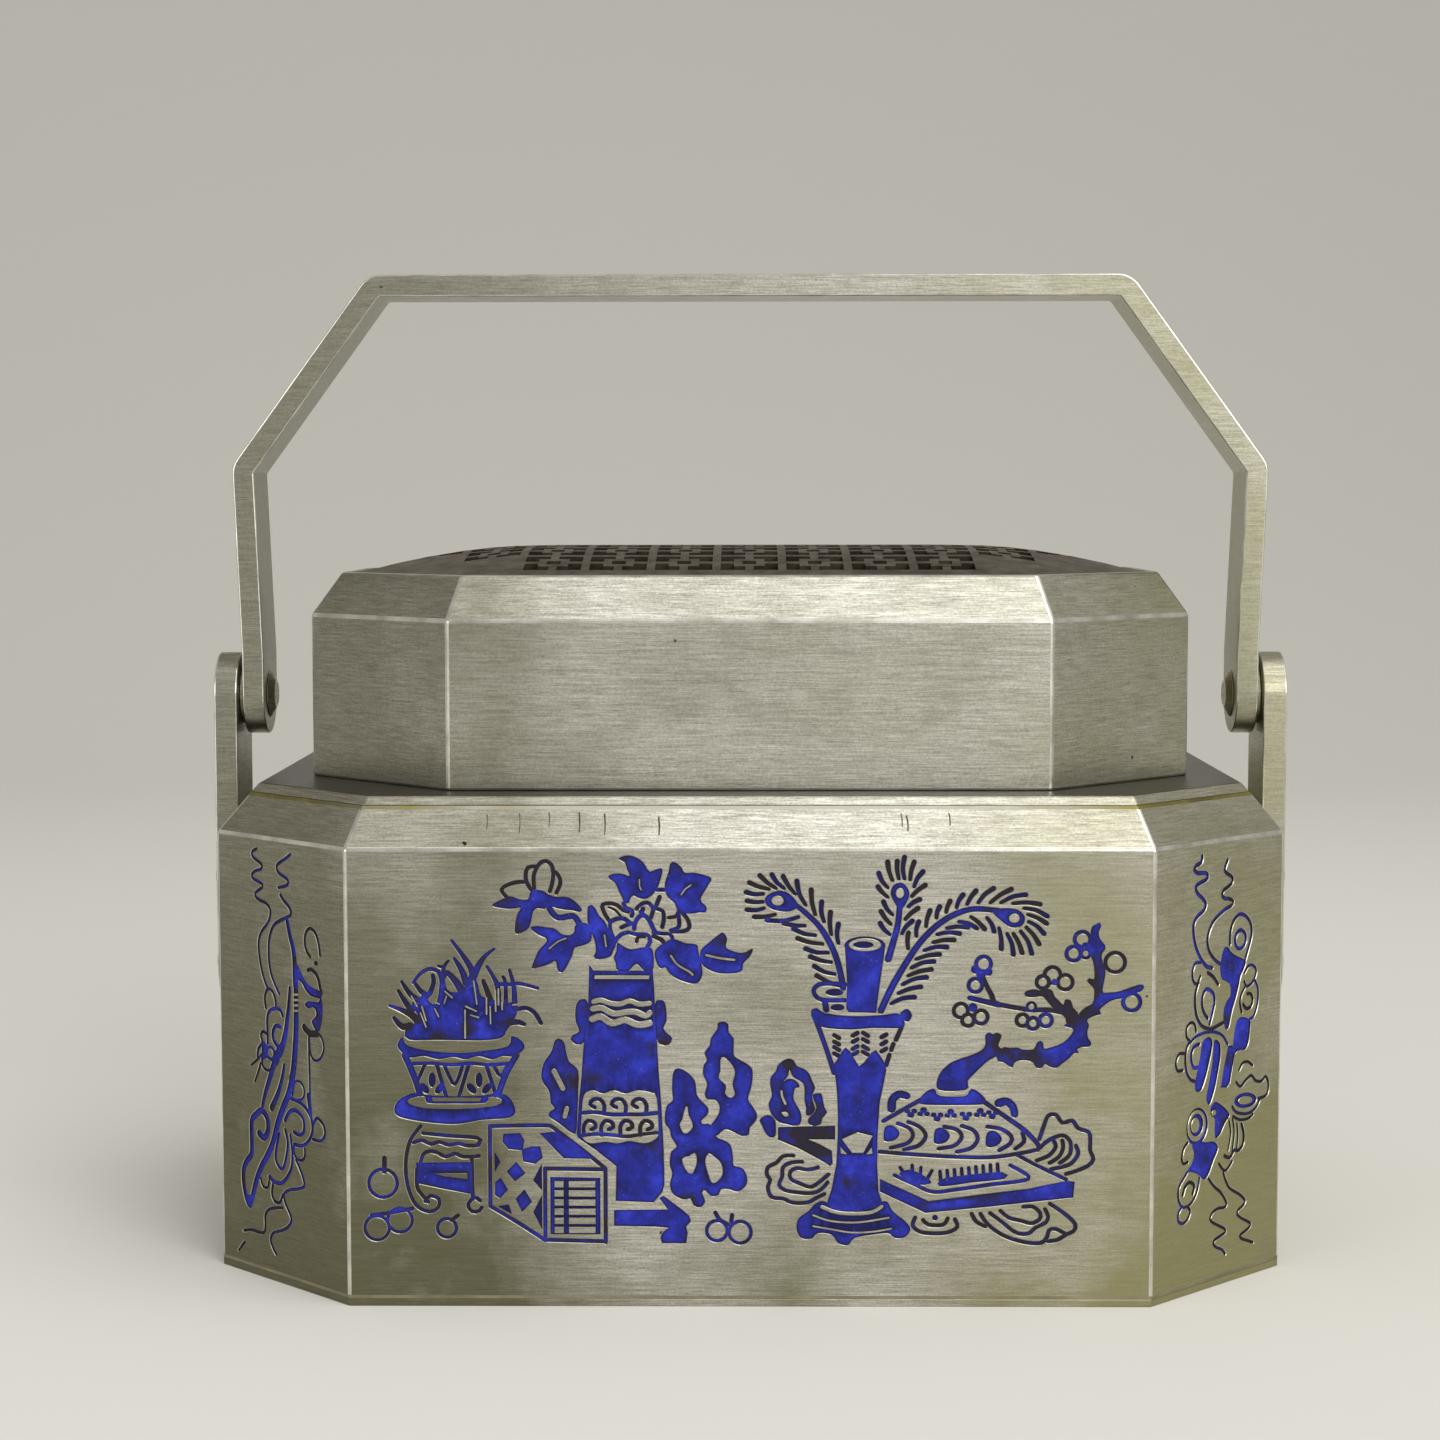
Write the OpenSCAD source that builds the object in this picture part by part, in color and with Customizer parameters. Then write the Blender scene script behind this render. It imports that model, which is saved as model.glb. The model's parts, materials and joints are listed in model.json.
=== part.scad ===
// Octagonal charcoal hand warmer with a loose pierced lid and a swinging strap handle.
// Millimetres. X runs along the long side, Y from front to back and Z up; the origin is
// the middle of the underside.

/* [Body] */
// Width across the two end walls
body_w = 140; // [120:1:180]
// Depth from the front wall to the back wall
body_d = 90; // [78:1:120]
// How far each corner is cut back along both walls
corner_cut = 19.5; // [14:0.5:24]
// Height of the upright walls above the table
wall_h = 58; // [46:1:80]
// Rise of the sloping shoulder above the walls
shoulder_h = 6.2; // [4:0.1:9]
// How far the sloping shoulder leans in
shoulder_in = 5.2; // [3:0.1:7]
// Thickness of the wall sheet
wall_t = 1.6; // [1:0.1:2.4]
// Thickness of the base plate
base_t = 1; // [0.6:0.1:2]
// Thickness of the flat deck plate on the shoulder
deck_t = 1.2; // [0.8:0.1:2]
// Thickness of the brazed seams
braze_t = 0.4; // [0.2:0.05:0.8]

/* [Neck and fire pan] */
// Height of the neck above the deck
neck_h = 11; // [6:0.5:16]
// Thickness of the neck band
neck_t = 1.2; // [0.8:0.1:2]
// Clearance all round between the neck and the lid
lid_clearance = 0.4; // [0.2:0.05:0.8]
// Thickness of the copper fire pan
pan_t = 0.9; // [0.6:0.1:1.5]
// Clearance all round between the fire pan and the neck
pan_clearance = 0.5; // [0.2:0.1:1]
// Air gap under the fire pan
pan_float = 6; // [3:0.5:12]

/* [Lid] */
// How far the lid stands in from the body walls
lid_inset = 10.9; // [9:0.1:14]
// How far each lid corner is cut back along both sides
lid_cut = 20.4; // [14:0.2:24]
// Height of the upright lid skirt
skirt_h = 21.8; // [18:0.2:28]
// Rise of the sloping edge of the lid
lid_bevel_h = 5.7; // [3:0.1:8]
// How far the sloping edge of the lid leans in
lid_bevel_in = 4; // [2:0.1:6]
// Thickness of the lid sheet
lid_t = 1.4; // [1:0.1:2]
// Width of the flat rim round the pierced plate
rim_w = 1.2; // [0.8:0.1:3]
// Width of the step that the pierced plate lies on
seat_w = 1.5; // [1:0.1:3]

/* [Pierced plate] */
// Thickness of the pierced plate
grille_t = 1; // [0.6:0.1:1.2]
// Height of its crown above the rim
grille_rise = 3.4; // [1.5:0.1:6]
// Width of the curved edge of the crown
grille_run = 24; // [12:0.5:26]
// Pitch of the lattice squares
lattice_pitch = 8.6; // [8:0.2:14]
// Width of the lattice bars
lattice_bar = 1.1; // [0.8:0.1:1.8]
// Outside width of the small square in each lattice square
lattice_core = 4; // [3.4:0.1:5.2]

/* [Handle] */
// Thickness of the handle strap
strap_t = 3; // [2:0.1:4]
// Width of the handle strap
strap_w = 11; // [8:0.5:14]
// Room for fingers between the lid and the bar of the handle
finger_room = 34; // [30:0.5:50]
// Height of the slanting runs of the handle
slant_h = 26; // [18:0.5:32]
// How far the slanting runs lean in towards the bar
slant_in = 19; // [10:0.5:26]
// How far each leg spreads between its ear and its bend
leg_spread = 1; // [0:0.1:3]
// Outside radius of the bends
bend_r = 3.6; // [3.1:0.1:6]

/* [Ears and rivets] */
// Thickness of the ear straps
ear_t = 3.2; // [2:0.1:4]
// How far the upper part of each ear stands out from the end wall
ear_step = 0.8; // [0.4:0.1:2]
// Width of the ear straps
ear_w = 11.6; // [9:0.2:16]
// Height of the handle pivot above the deck
pivot_rise = 10.2; // [8:0.2:16]
// Length of the ear straps below the top of the walls
ear_drop = 27; // [20:1:36]
// Spacing of the two rivets that hold each ear
ear_rivet_pitch = 12; // [8:0.5:16]
// Radius of the rivet shanks
rivet_r = 1.5; // [1:0.1:2]
// Radius of the rivet heads
rivet_head_r = 2.6; // [2.2:0.1:3.4]
// Height of the rivet heads
rivet_head_h = 0.9; // [0.5:0.1:1.4]
// Radius of the pivot pins
pivot_r = 1.8; // [1.2:0.1:2.4]
// Radius of the heads of the pivot pins
pivot_head_r = 3.4; // [3:0.1:4]
// Radial running clearance of the handle on its pins
pivot_clearance = 0.06; // [0.03:0.01:0.1]
// Thickness of the washers between the ears and the handle
washer_t = 0.6; // [0.4:0.1:1]
// Radius of the washers
washer_r = 4.2; // [3.6:0.1:5]
// Play between the faces that slide on each other at the pivots
side_play = 0.05; // [0.02:0.01:0.1]

/* [Enamel] */
// Depth of the engraved hollows that hold the enamel
enamel_depth = 0.6; // [0.3:0.05:0.8]
// How far the enamel lies below the face of the metal
enamel_sink = 0.2; // [0:0.05:0.25]
// Width across the front and back pictures
picture_w = 88; // [60:1:90]
// Height of the pictures
picture_h = 50; // [36:1:52]

/* [Hidden] */
$fn = 64;
PAKTONG = "#8f8d7a";
BRASS = "#a8913c";
COPPER = "#a5603f";
ENAMEL = "#2f2fa8";
past = 1; // how far a cutting shape runs past what it cuts
crown_steps = 6;
bend_steps = 5;

// An octagon is given by its half spans across the ends, front to back and corner to corner
function half_spans(w, d, cut) = [w / 2, d / 2, (w / 2 + d / 2 - cut) / sqrt(2)];
function inset(half, by) = [for (span = half) span - by];
// How much lower the inside corner of a bent sheet lies, for a bend that leans in by run over rise
function bend_drop(sheet, run, rise) = sheet * tan(atan2(run, rise) / 2);

body_half = half_spans(body_w, body_d, corner_cut);
corner_shift = (body_w - body_d) / (2 * sqrt(2));
lid_half = half_spans(body_w - 2 * lid_inset, body_d - 2 * lid_inset, lid_cut);
neck_half = inset(lid_half, lid_t + lid_clearance);
pan_half = inset(neck_half, neck_t + pan_clearance);
rim_half = inset(lid_half, lid_bevel_in);
plate_half = inset(rim_half, rim_w);

deck_z = wall_h + shoulder_h;
deck_under_z = deck_z - deck_t;
seam_z = deck_under_z - braze_t;
shoulder_slope = shoulder_in / shoulder_h;
neck_z = deck_z + neck_h;
pan_floor_z = base_t + pan_float;
skirt_z = deck_z + skirt_h;
rim_z = skirt_z + lid_bevel_h;
lid_slope = lid_bevel_in / lid_bevel_h;
seat_z = rim_z - grille_t;
crown_z = rim_z + grille_rise;
crown_run = min(grille_run, plate_half[1] - seat_w - grille_t - 1);
pivot_z = deck_z + pivot_rise;
bar_under_z = crown_z + finger_room;
bar_z = bar_under_z + strap_t;
knee_z = bar_z - slant_h;
ear_x = body_w / 2 + ear_step; // inner face of the ear at the pivot
ear_out_x = ear_x + ear_t;
ear_step_z = wall_h - 2; // top of the thick foot of the ear
leg_x = ear_x - washer_t - 2 * side_play; // outer face of the leg at the pivot
knee_x = leg_x + leg_spread;
ear_foot_z = wall_h - ear_drop;
ear_rivet_z = ear_foot_z + ear_w / 2;

// A solid with eight sides. Each level is [how far the sides stand in, height].
module eight_sided(half, levels) {
    reach = 3 * max(half);
    intersection() {
        for_side(half[0], levels, 0, reach);
        for_side(half[1], levels, 90, reach);
        for_side(half[2], levels, 45, reach);
        for_side(half[2], levels, -45, reach);
    }
}

// A long bar with the given outline across it, which shapes two opposite sides
module for_side(span, levels, turn, reach) {
    last = len(levels) - 1;
    right = [for (level = levels) [span - level[0], level[1]]];
    left = [for (i = [last : -1 : 0]) [levels[i][0] - span, levels[i][1]]];
    rotate([90, 0, turn])
        linear_extrude(height = 2 * reach, center = true) polygon(concat(right, left));
}

// A band with eight upright sides
module eight_band(outer, inner, z0, z1) {
    difference() {
        eight_sided(outer, [[0, z0], [0, z1]]);
        eight_sided(inner, [[0, z0 - past], [0, z1 + past]]);
    }
}

// Everything for the left end is the right end turned half round
module at_end(side) {
    rotate([0, 0, side == "left" ? 180 : 0]) children();
}

// A round bar along X
module along_x(x0, x1, y, z, r) {
    translate([x0, y, z]) rotate([0, 90, 0]) cylinder(h = x1 - x0, r = r);
}

// A low rivet head standing out along X from x0
module rivet_head(x0, y, z, h) {
    translate([x0, y, z])
        rotate([0, 90, 0]) cylinder(h = h, r1 = rivet_head_r, r2 = rivet_r);
}

module side_wall() {
    low_z = base_t + braze_t;
    bend_z = wall_h - bend_drop(wall_t, shoulder_in, shoulder_h);
    inner = inset(body_half, wall_t);
    color(PAKTONG) difference() {
        eight_sided(body_half, [
            [0, low_z], [0, wall_h], [(seam_z - wall_h) * shoulder_slope, seam_z]
        ]);
        eight_sided(inner, [
            [0, low_z - past], [0, bend_z],
            [(seam_z + past - bend_z) * shoulder_slope, seam_z + past]
        ]);
        for (turn = [0, 180], row = [0, 1])
            rotate([0, 0, turn]) ear_rivet_hole(row);
        for (turn = [0, 180])
            on_face(turn, body_half[1], 0, -past, enamel_depth) antiques();
        for (turn = [-135, -45, 45, 135])
            on_face(turn, body_half[2], corner_side(turn) * corner_shift, -past, enamel_depth)
                wand(corner_side(turn));
    }
}

// Puts a flat picture on the wall that faces this way, from one depth in the wall to another
module on_face(turn, span, shift, from, to) {
    rotate([0, 0, turn]) translate([shift, to - span, 0])
        rotate([90, 0, 0]) linear_extrude(height = to - from) children();
}

// The corner walls lie to the right or the left of the foot of their own normal
function corner_side(turn) = turn == 45 || turn == -135 ? 1 : -1;

// Pictures are drawn in units of a hundredth of their width and height, from the bottom middle
module patch(size, middle, points) {
    polygon([for (p = points) [(middle[0] + p[0]) * size[0], (middle[1] + p[1]) * size[1]] / 100]);
}

// The right half of an outline and its mirror image about an upright line
function both_sides(half) = concat(half, mirrored(half));

// The large shapes of the hundred antiques picture
module antiques() {
    room = body_w - 2 * corner_cut;
    width = min(picture_w, room * 0.9);
    height = min(picture_h, wall_h * 0.9);
    size = [width, height];
    low = (wall_h - height) / 2 * 100 / height;
    // flower pot, its dish and its stand
    patch(size, [-41, low], both_sides([[5, 42], [8, 59]]));
    patch(size, [-41, low], both_sides([[6, 36], [9, 38], [9, 40]]));
    patch(size, [-41, low], both_sides([[3, 29], [5, 16], [7, 16], [6, 34]]));
    // box of books
    patch(size, [-29, low], [[-8, 14], [0, 7], [9, 16], [9, 30], [0, 37], [-8, 30]]);
    // tall vase with its flowers, and its foot
    patch(size, [-18, low], both_sides([
        [3, 16], [4.5, 24], [7, 34], [6.5, 46], [3, 56], [2.6, 66], [3.6, 71]
    ]));
    patch(size, [-13, low], both_sides([[4.5, 4], [5, 12]]));
    patch(size, [-16, low], [[-10, 76], [0, 74], [10, 79], [6, 90], [-2, 94], [-12, 96], [-7, 85]]);
    // pierced rock
    patch(size, [-4.5, low], [
        [-4, 14], [3, 12], [5, 24], [4, 38], [5.5, 50], [1, 56], [-1, 44], [-3, 30]
    ]);
    // beaker vase and scroll
    patch(size, [16, low], both_sides([[6, 4], [3.5, 16], [3.4, 30], [3, 42], [6.4, 60]]));
    patch(size, [16, low], [[-1, 63], [4, 63], [3, 80], [-1.4, 79]]);
    // trunk, basin and tray
    patch(size, [32, low], [
        [-6, 41], [-3, 41], [-1, 52], [6, 48], [12, 54], [15, 76], [13, 76], [9.6, 57], [5, 52], [-3, 57]
    ]);
    patch(size, [26.5, low], both_sides([[7, 27], [9, 38]]));
    patch(size, [29, low], both_sides([[9, 14], [11, 24]]));
}

// A slanting wand with a ribbon above and below it; the pictures face each other in pairs
module wand(side) {
    room = corner_cut * sqrt(2);
    height = min(picture_h, wall_h * 0.9);
    size = [-side * room, height];
    low = (wall_h - height) / 2 * 100 / height;
    patch(size, [0, low], [[-22, 24], [-14, 20], [20, 74], [12, 78]]);
    patch(size, [0, low], [[-30, 86], [-6, 80], [8, 88], [26, 84], [28, 90], [6, 95], [-8, 88], [-28, 93]]);
    patch(size, [0, low], [[-26, 8], [-8, 13], [10, 6], [28, 12], [26, 17], [10, 12], [-8, 18], [-26, 14]]);
}

module inlay(turn) {
    color(ENAMEL)
        if (turn % 90 == 0)
            on_face(turn, body_half[1], 0, enamel_sink, enamel_depth) antiques();
        else
            on_face(turn, body_half[2], corner_side(turn) * corner_shift, enamel_sink, enamel_depth)
                wand(corner_side(turn));
}

module ear_rivet_hole(row) {
    along_x(body_w / 2 - wall_t - past, ear_out_x + past,
            0, ear_rivet_z + row * ear_rivet_pitch, rivet_r);
}

module base_plate() {
    color(PAKTONG) eight_sided(body_half, [[0, 0], [0, base_t]]);
}

module base_braze() {
    color(BRASS) eight_band(body_half, inset(body_half, wall_t), base_t, base_t + braze_t);
}

module deck_plate() {
    under_in = (deck_under_z - wall_h) * shoulder_slope;
    color(PAKTONG) difference() {
        eight_sided(body_half, [[under_in, deck_under_z], [shoulder_in, deck_z]]);
        eight_sided(neck_half, [[0, deck_under_z - past], [0, deck_z + past]]);
    }
}

module deck_braze() {
    seam_in = (seam_z - wall_h) * shoulder_slope;
    under_in = (deck_under_z - wall_h) * shoulder_slope;
    color(BRASS) difference() {
        eight_sided(body_half, [[seam_in, seam_z], [under_in, deck_under_z]]);
        eight_sided(inset(body_half, seam_in + wall_t), [
            [0, seam_z - past], [0, deck_under_z + past]
        ]);
    }
}

module neck_band() {
    color(PAKTONG) eight_band(neck_half, inset(neck_half, neck_t), deck_under_z, neck_z);
}

// The pan hangs by its flange from the top of the neck
module fire_pan() {
    color(COPPER) difference() {
        union() {
            eight_sided(pan_half, [[0, pan_floor_z], [0, neck_z + pan_t]]);
            eight_sided(neck_half, [[0, neck_z], [0, neck_z + pan_t]]);
        }
        eight_sided(inset(pan_half, pan_t), [
            [0, pan_floor_z + pan_t], [0, neck_z + pan_t + past]
        ]);
    }
}

// A strap on the end wall with a round top about the pivot and a round foot, thicker where it is riveted
module ear() {
    color(PAKTONG) difference() {
        union() {
            translate([ear_x, 0, 0]) rotate([90, 0, 90]) linear_extrude(height = ear_t) union() {
                translate([0, pivot_z]) circle(d = ear_w);
                translate([-ear_w / 2, ear_step_z - 1]) square([ear_w, pivot_z - ear_step_z + 1]);
            }
            translate([body_w / 2, 0, 0]) rotate([90, 0, 90])
                linear_extrude(height = ear_step + ear_t) union() {
                    translate([0, ear_rivet_z]) circle(d = ear_w);
                    translate([-ear_w / 2, ear_rivet_z]) square([ear_w, ear_step_z - ear_rivet_z]);
                }
        }
        for (row = [0, 1])
            ear_rivet_hole(row);
        along_x(ear_x - past, ear_out_x + past, 0, pivot_z, pivot_r);
    }
}

module ear_rivets() {
    inside_x = body_w / 2 - wall_t;
    color(PAKTONG) for (row = [0, 1]) {
        z = ear_rivet_z + row * ear_rivet_pitch;
        union() {
            along_x(inside_x, ear_out_x, 0, z, rivet_r);
            rivet_head(ear_out_x, 0, z, rivet_head_h);
            mirror([1, 0, 0]) rivet_head(-inside_x, 0, z, rivet_head_h);
        }
    }
}

// Flush on the outside of the ear, with a low head inside the leg of the handle
module pivot_pin() {
    head_x = leg_x - strap_t - side_play;
    color(PAKTONG) union() {
        along_x(head_x, ear_out_x, 0, pivot_z, pivot_r);
        mirror([1, 0, 0])
            translate([-head_x, 0, pivot_z]) rotate([0, 90, 0])
                cylinder(h = rivet_head_h, r1 = pivot_head_r, r2 = pivot_r);
    }
}

module washer() {
    x1 = ear_x - side_play;
    color(BRASS) difference() {
        along_x(x1 - washer_t, x1, 0, pivot_z, washer_r);
        along_x(x1 - washer_t - past, x1 + past, 0, pivot_z, pivot_r + pivot_clearance);
    }
}

module lid_shell() {
    bend_z = skirt_z - bend_drop(lid_t, lid_bevel_in, lid_bevel_h);
    top_under_z = rim_z - lid_t - grille_t;
    color(PAKTONG) difference() {
        eight_sided(lid_half, [[0, deck_z], [0, skirt_z], [lid_bevel_in, rim_z]]);
        eight_sided(inset(lid_half, lid_t), [
            [0, deck_z - past], [0, bend_z], [(top_under_z - bend_z) * lid_slope, top_under_z]
        ]);
        eight_sided(inset(plate_half, seat_w), [[0, top_under_z - past], [0, rim_z]]);
        eight_sided(plate_half, [[0, seat_z], [0, rim_z + past]]);
    }
}

// How high the crown has risen after this share of its run: steep at the edge, level at the middle
function crown_rise(share) = grille_rise * (1 - pow(1 - share, 2));

// Outline of the crowned plate: a flat edge, a gentle curve and a flat middle
function crown_levels(z) = concat(
    [[0, z], [0, z + grille_t], [seat_w, z + grille_t]],
    [for (i = [1 : crown_steps]) let (share = i / crown_steps)
        [seat_w + crown_run * share, z + grille_t + crown_rise(share)]]
);

// The same crown, lower by the thickness of the plate
function hollow_levels(z) = concat(
    [[0, z - past], [0, z]],
    [for (i = [1 : crown_steps]) let (share = i / crown_steps)
        [crown_run * share, z + crown_rise(share)]]
);

// One corner slot of a lattice square, between its edge, its small square and its cross bars
module lattice_slot() {
    far = (lattice_pitch - lattice_bar) / 2;
    near = lattice_bar / 2;
    core = lattice_core / 2;
    polygon([[near, core], [core, core], [core, near], [far, near], [far, far], [near, far]]);
}

module lattice_square() {
    for (turn = [0 : 90 : 270])
        rotate(turn) lattice_slot();
    square(lattice_core - 2 * lattice_bar, center = true);
}

module pierced_plate() {
    field = inset(plate_half, seat_w + lattice_bar);
    across = floor(2 * field[0] / lattice_pitch);
    deep = floor(2 * field[1] / lattice_pitch);
    color(PAKTONG) difference() {
        eight_sided(plate_half, crown_levels(seat_z));
        eight_sided(inset(plate_half, seat_w + grille_t), hollow_levels(seat_z));
        for (i = [0 : across - 1], j = [0 : deep - 1]) {
            x = (i - (across - 1) / 2) * lattice_pitch;
            y = (j - (deep - 1) / 2) * lattice_pitch;
            if (abs(x) + abs(y) + lattice_pitch <= field[2] * sqrt(2))
                translate([x, y, seat_z - past])
                    linear_extrude(height = grille_rise + grille_t + 2 * past) lattice_square();
        }
    }
}

// One half of the outer edge of the handle seen from the front, from the foot of the leg up
function handle_edge(by) = [
    [leg_x - by, pivot_z - strap_w / 2],
    [leg_x - by, pivot_z + ear_w / 2],
    [knee_x - by, knee_z - by * tan(atan2(slant_in, slant_h) / 2)],
    [knee_x - slant_in - by * tan((90 - atan2(slant_in, slant_h)) / 2), bar_z - by]
];

function unit(v) = v / norm(v);

// Points of a round bend of radius r that replaces the corner b of the line a, b, c
function round_bend(a, b, c, r) =
    let (u = unit(a - b), v = unit(c - b), half = acos(u * v) / 2,
         centre = b + unit(u + v) * r / sin(half),
         from = b + u * r / tan(half) - centre, to = b + v * r / tan(half) - centre,
         sweep = acos(unit(from) * unit(to)), way = sign(cross(from, to)))
    [for (i = [0 : bend_steps]) let (t = way * sweep * i / bend_steps)
        centre + [from[0] * cos(t) - from[1] * sin(t), from[0] * sin(t) + from[1] * cos(t)]];

// The same edge with its two upper corners rounded, closed at the middle of the bar
function bent_edge(by) =
    let (p = handle_edge(by), r = bend_r - by, middle = [0, bar_z - by])
    concat([p[0], p[1]], round_bend(p[1], p[2], p[3], r), round_bend(p[2], p[3], middle, r));

function flipped(edge) = [for (p = edge) [-p[0], p[1]]];
function reversed(edge) = [for (i = [len(edge) - 1 : -1 : 0]) edge[i]];
function mirrored(edge) = reversed(flipped(edge));

module handle_strap() {
    outer = bent_edge(0);
    inner = bent_edge(strap_t);
    color(PAKTONG) difference() {
        intersection() {
            rotate([90, 0, 0]) linear_extrude(height = strap_w, center = true)
                polygon(concat(outer, mirrored(outer), flipped(inner), reversed(inner)));
            rotate([90, 0, 90]) linear_extrude(height = 2 * body_w, center = true) union() {
                translate([0, pivot_z]) circle(d = strap_w);
                translate([-strap_w / 2, pivot_z]) square([strap_w, bar_z - pivot_z + past]);
            }
        }
        along_x(-body_w, body_w, 0, pivot_z, pivot_r + pivot_clearance);
    }
}

side_wall();
base_plate();
base_braze();
deck_plate();
deck_braze();
neck_band();
inlay(0);  // front_enamel
inlay(180);  // back_enamel
inlay(-45);  // front_left_enamel
inlay(45);  // front_right_enamel
inlay(-135);  // back_left_enamel
inlay(135);  // back_right_enamel
fire_pan();
at_end("left") ear();  // left_ear
at_end("right") ear();  // right_ear
at_end("left") ear_rivets();  // left_ear_rivets
at_end("right") ear_rivets();  // right_ear_rivets
at_end("left") pivot_pin();  // left_pivot_pin
at_end("right") pivot_pin();  // right_pivot_pin
at_end("left") washer();  // left_washer
at_end("right") washer();  // right_washer
lid_shell();
pierced_plate();
handle_strap();
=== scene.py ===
import bpy, bmesh, json, math
from mathutils import Matrix, Vector
from mathutils.geometry import delaunay_2d_cdt

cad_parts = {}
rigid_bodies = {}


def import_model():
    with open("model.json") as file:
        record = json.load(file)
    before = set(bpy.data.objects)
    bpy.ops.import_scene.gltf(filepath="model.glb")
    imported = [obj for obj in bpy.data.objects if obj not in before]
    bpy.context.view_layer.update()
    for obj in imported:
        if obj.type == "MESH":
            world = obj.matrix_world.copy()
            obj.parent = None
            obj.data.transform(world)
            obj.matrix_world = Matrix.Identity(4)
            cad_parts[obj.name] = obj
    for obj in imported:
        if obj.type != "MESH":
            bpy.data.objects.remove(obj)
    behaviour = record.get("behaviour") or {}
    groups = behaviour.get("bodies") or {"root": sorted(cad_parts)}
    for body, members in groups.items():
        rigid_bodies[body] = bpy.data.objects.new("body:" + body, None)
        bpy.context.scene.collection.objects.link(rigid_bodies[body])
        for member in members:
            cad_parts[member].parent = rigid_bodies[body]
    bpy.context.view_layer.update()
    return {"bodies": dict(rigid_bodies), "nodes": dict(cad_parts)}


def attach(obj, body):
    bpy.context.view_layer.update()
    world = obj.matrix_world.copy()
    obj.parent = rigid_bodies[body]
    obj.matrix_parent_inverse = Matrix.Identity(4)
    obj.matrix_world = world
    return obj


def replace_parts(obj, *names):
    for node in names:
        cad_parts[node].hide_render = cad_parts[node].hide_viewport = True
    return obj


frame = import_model()
nodes = frame["nodes"]
mm = 0.001
print("frame loaded:", len(nodes), "CAD nodes")


# sRGB hex to linear
def linear(code):
    parts = [int(code[i:i + 2], 16) / 255 for i in (1, 3, 5)]
    return [p / 12.92 if p <= 0.04045 else ((p + 0.055) / 1.055) ** 2.4 for p in parts] + [1]


# sets a node's inputs: a link is a socket to join or a value to set
def setInputs(tree, node, links):
    for socket, value in links.items():
        if isinstance(value, bpy.types.NodeSocket):
            tree.links.new(value, node.inputs[socket])
        else:
            node.inputs[socket].default_value = value


def addNode(tree, kind, links=None, **settings):
    node = tree.nodes.new(kind)
    for key, value in settings.items():
        setattr(node, key, value)
    setInputs(tree, node, links or {})
    return node


def newMaterial(name):
    material = bpy.data.materials.new(name)
    material.use_nodes = True
    tree = material.node_tree
    tree.nodes.clear()
    shader = addNode(tree, "ShaderNodeBsdfPrincipled")
    addNode(tree, "ShaderNodeOutputMaterial", {"Surface": shader.outputs[0]})
    coord = addNode(tree, "ShaderNodeTexCoord").outputs["Object"]
    return material, tree, shader, coord


# the steps that the materials share; each gives the socket with its result
def noise(tree, coord, scale, detail, rough):
    links = {"Vector": coord, "Scale": scale, "Detail": detail, "Roughness": rough}
    return addNode(tree, "ShaderNodeTexNoise", links).outputs["Fac"]


def between(tree, value, low, high, start=0, end=1):
    links = {"Value": value, "From Min": low, "From Max": high, "To Min": start, "To Max": end}
    return addNode(tree, "ShaderNodeMapRange", links).outputs[0]


def maths(tree, operation, *values):
    return addNode(tree, "ShaderNodeMath", dict(enumerate(values)), operation=operation).outputs[0]


def mixValue(tree, amount, one, other):
    return addNode(tree, "ShaderNodeMix", {0: amount, 2: one, 3: other}).outputs[0]


def mixColor(tree, amount, one, other):
    return addNode(tree, "ShaderNodeMix", {0: amount, 6: one, 7: other}, data_type="RGBA").outputs[2]


def toned(tree, value, *stops):
    node = addNode(tree, "ShaderNodeValToRGB", {"Fac": value})
    ramp = node.color_ramp
    while len(ramp.elements) < len(stops):
        ramp.elements.new(0.5)
    for element, (place, code) in zip(ramp.elements, stops):
        element.position = place
        element.color = linear(code)
    return node.outputs["Color"]


paktongLook = {
    "dark": "#918e82", "mid": "#bdbaae", "light": "#e4e1d7",
    "patina": "#5e5d40", "patinaPaintedLit": "#939062", "smudge": "#857f74", "pit": "#2c2a22",
    "lineLong": 3.6, "lineThick": 0.13, "grain": 0.3,  # brush lines, mm, a little coarser than the real ones
    "patinaSize": 24, "smudgeSize": 9, "pitSpacing": 9, "brushDepth": 0.05,  # mm
    "roughness": (0.46, 0.28),  # in the lines and between them
    # where the olive gathers, tarnish with painted shade at the ends and darker towards the foot: from, to
    # (metres), and how much there
    "leftPaintedShadeAndTarnish": (-0.004, -0.06, 0, 0.44), "rightPaintedShadeAndTarnish": (0.022, 0.062), "rightMost": 0.34,
    "footDarkening": (0.02, 0, 0, 0.13), "mostShadeAndTarnish": (0.02, 0.072, 0.88, 0.5), "paintedLitSide": (-0.01, 0.04),
}
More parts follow.
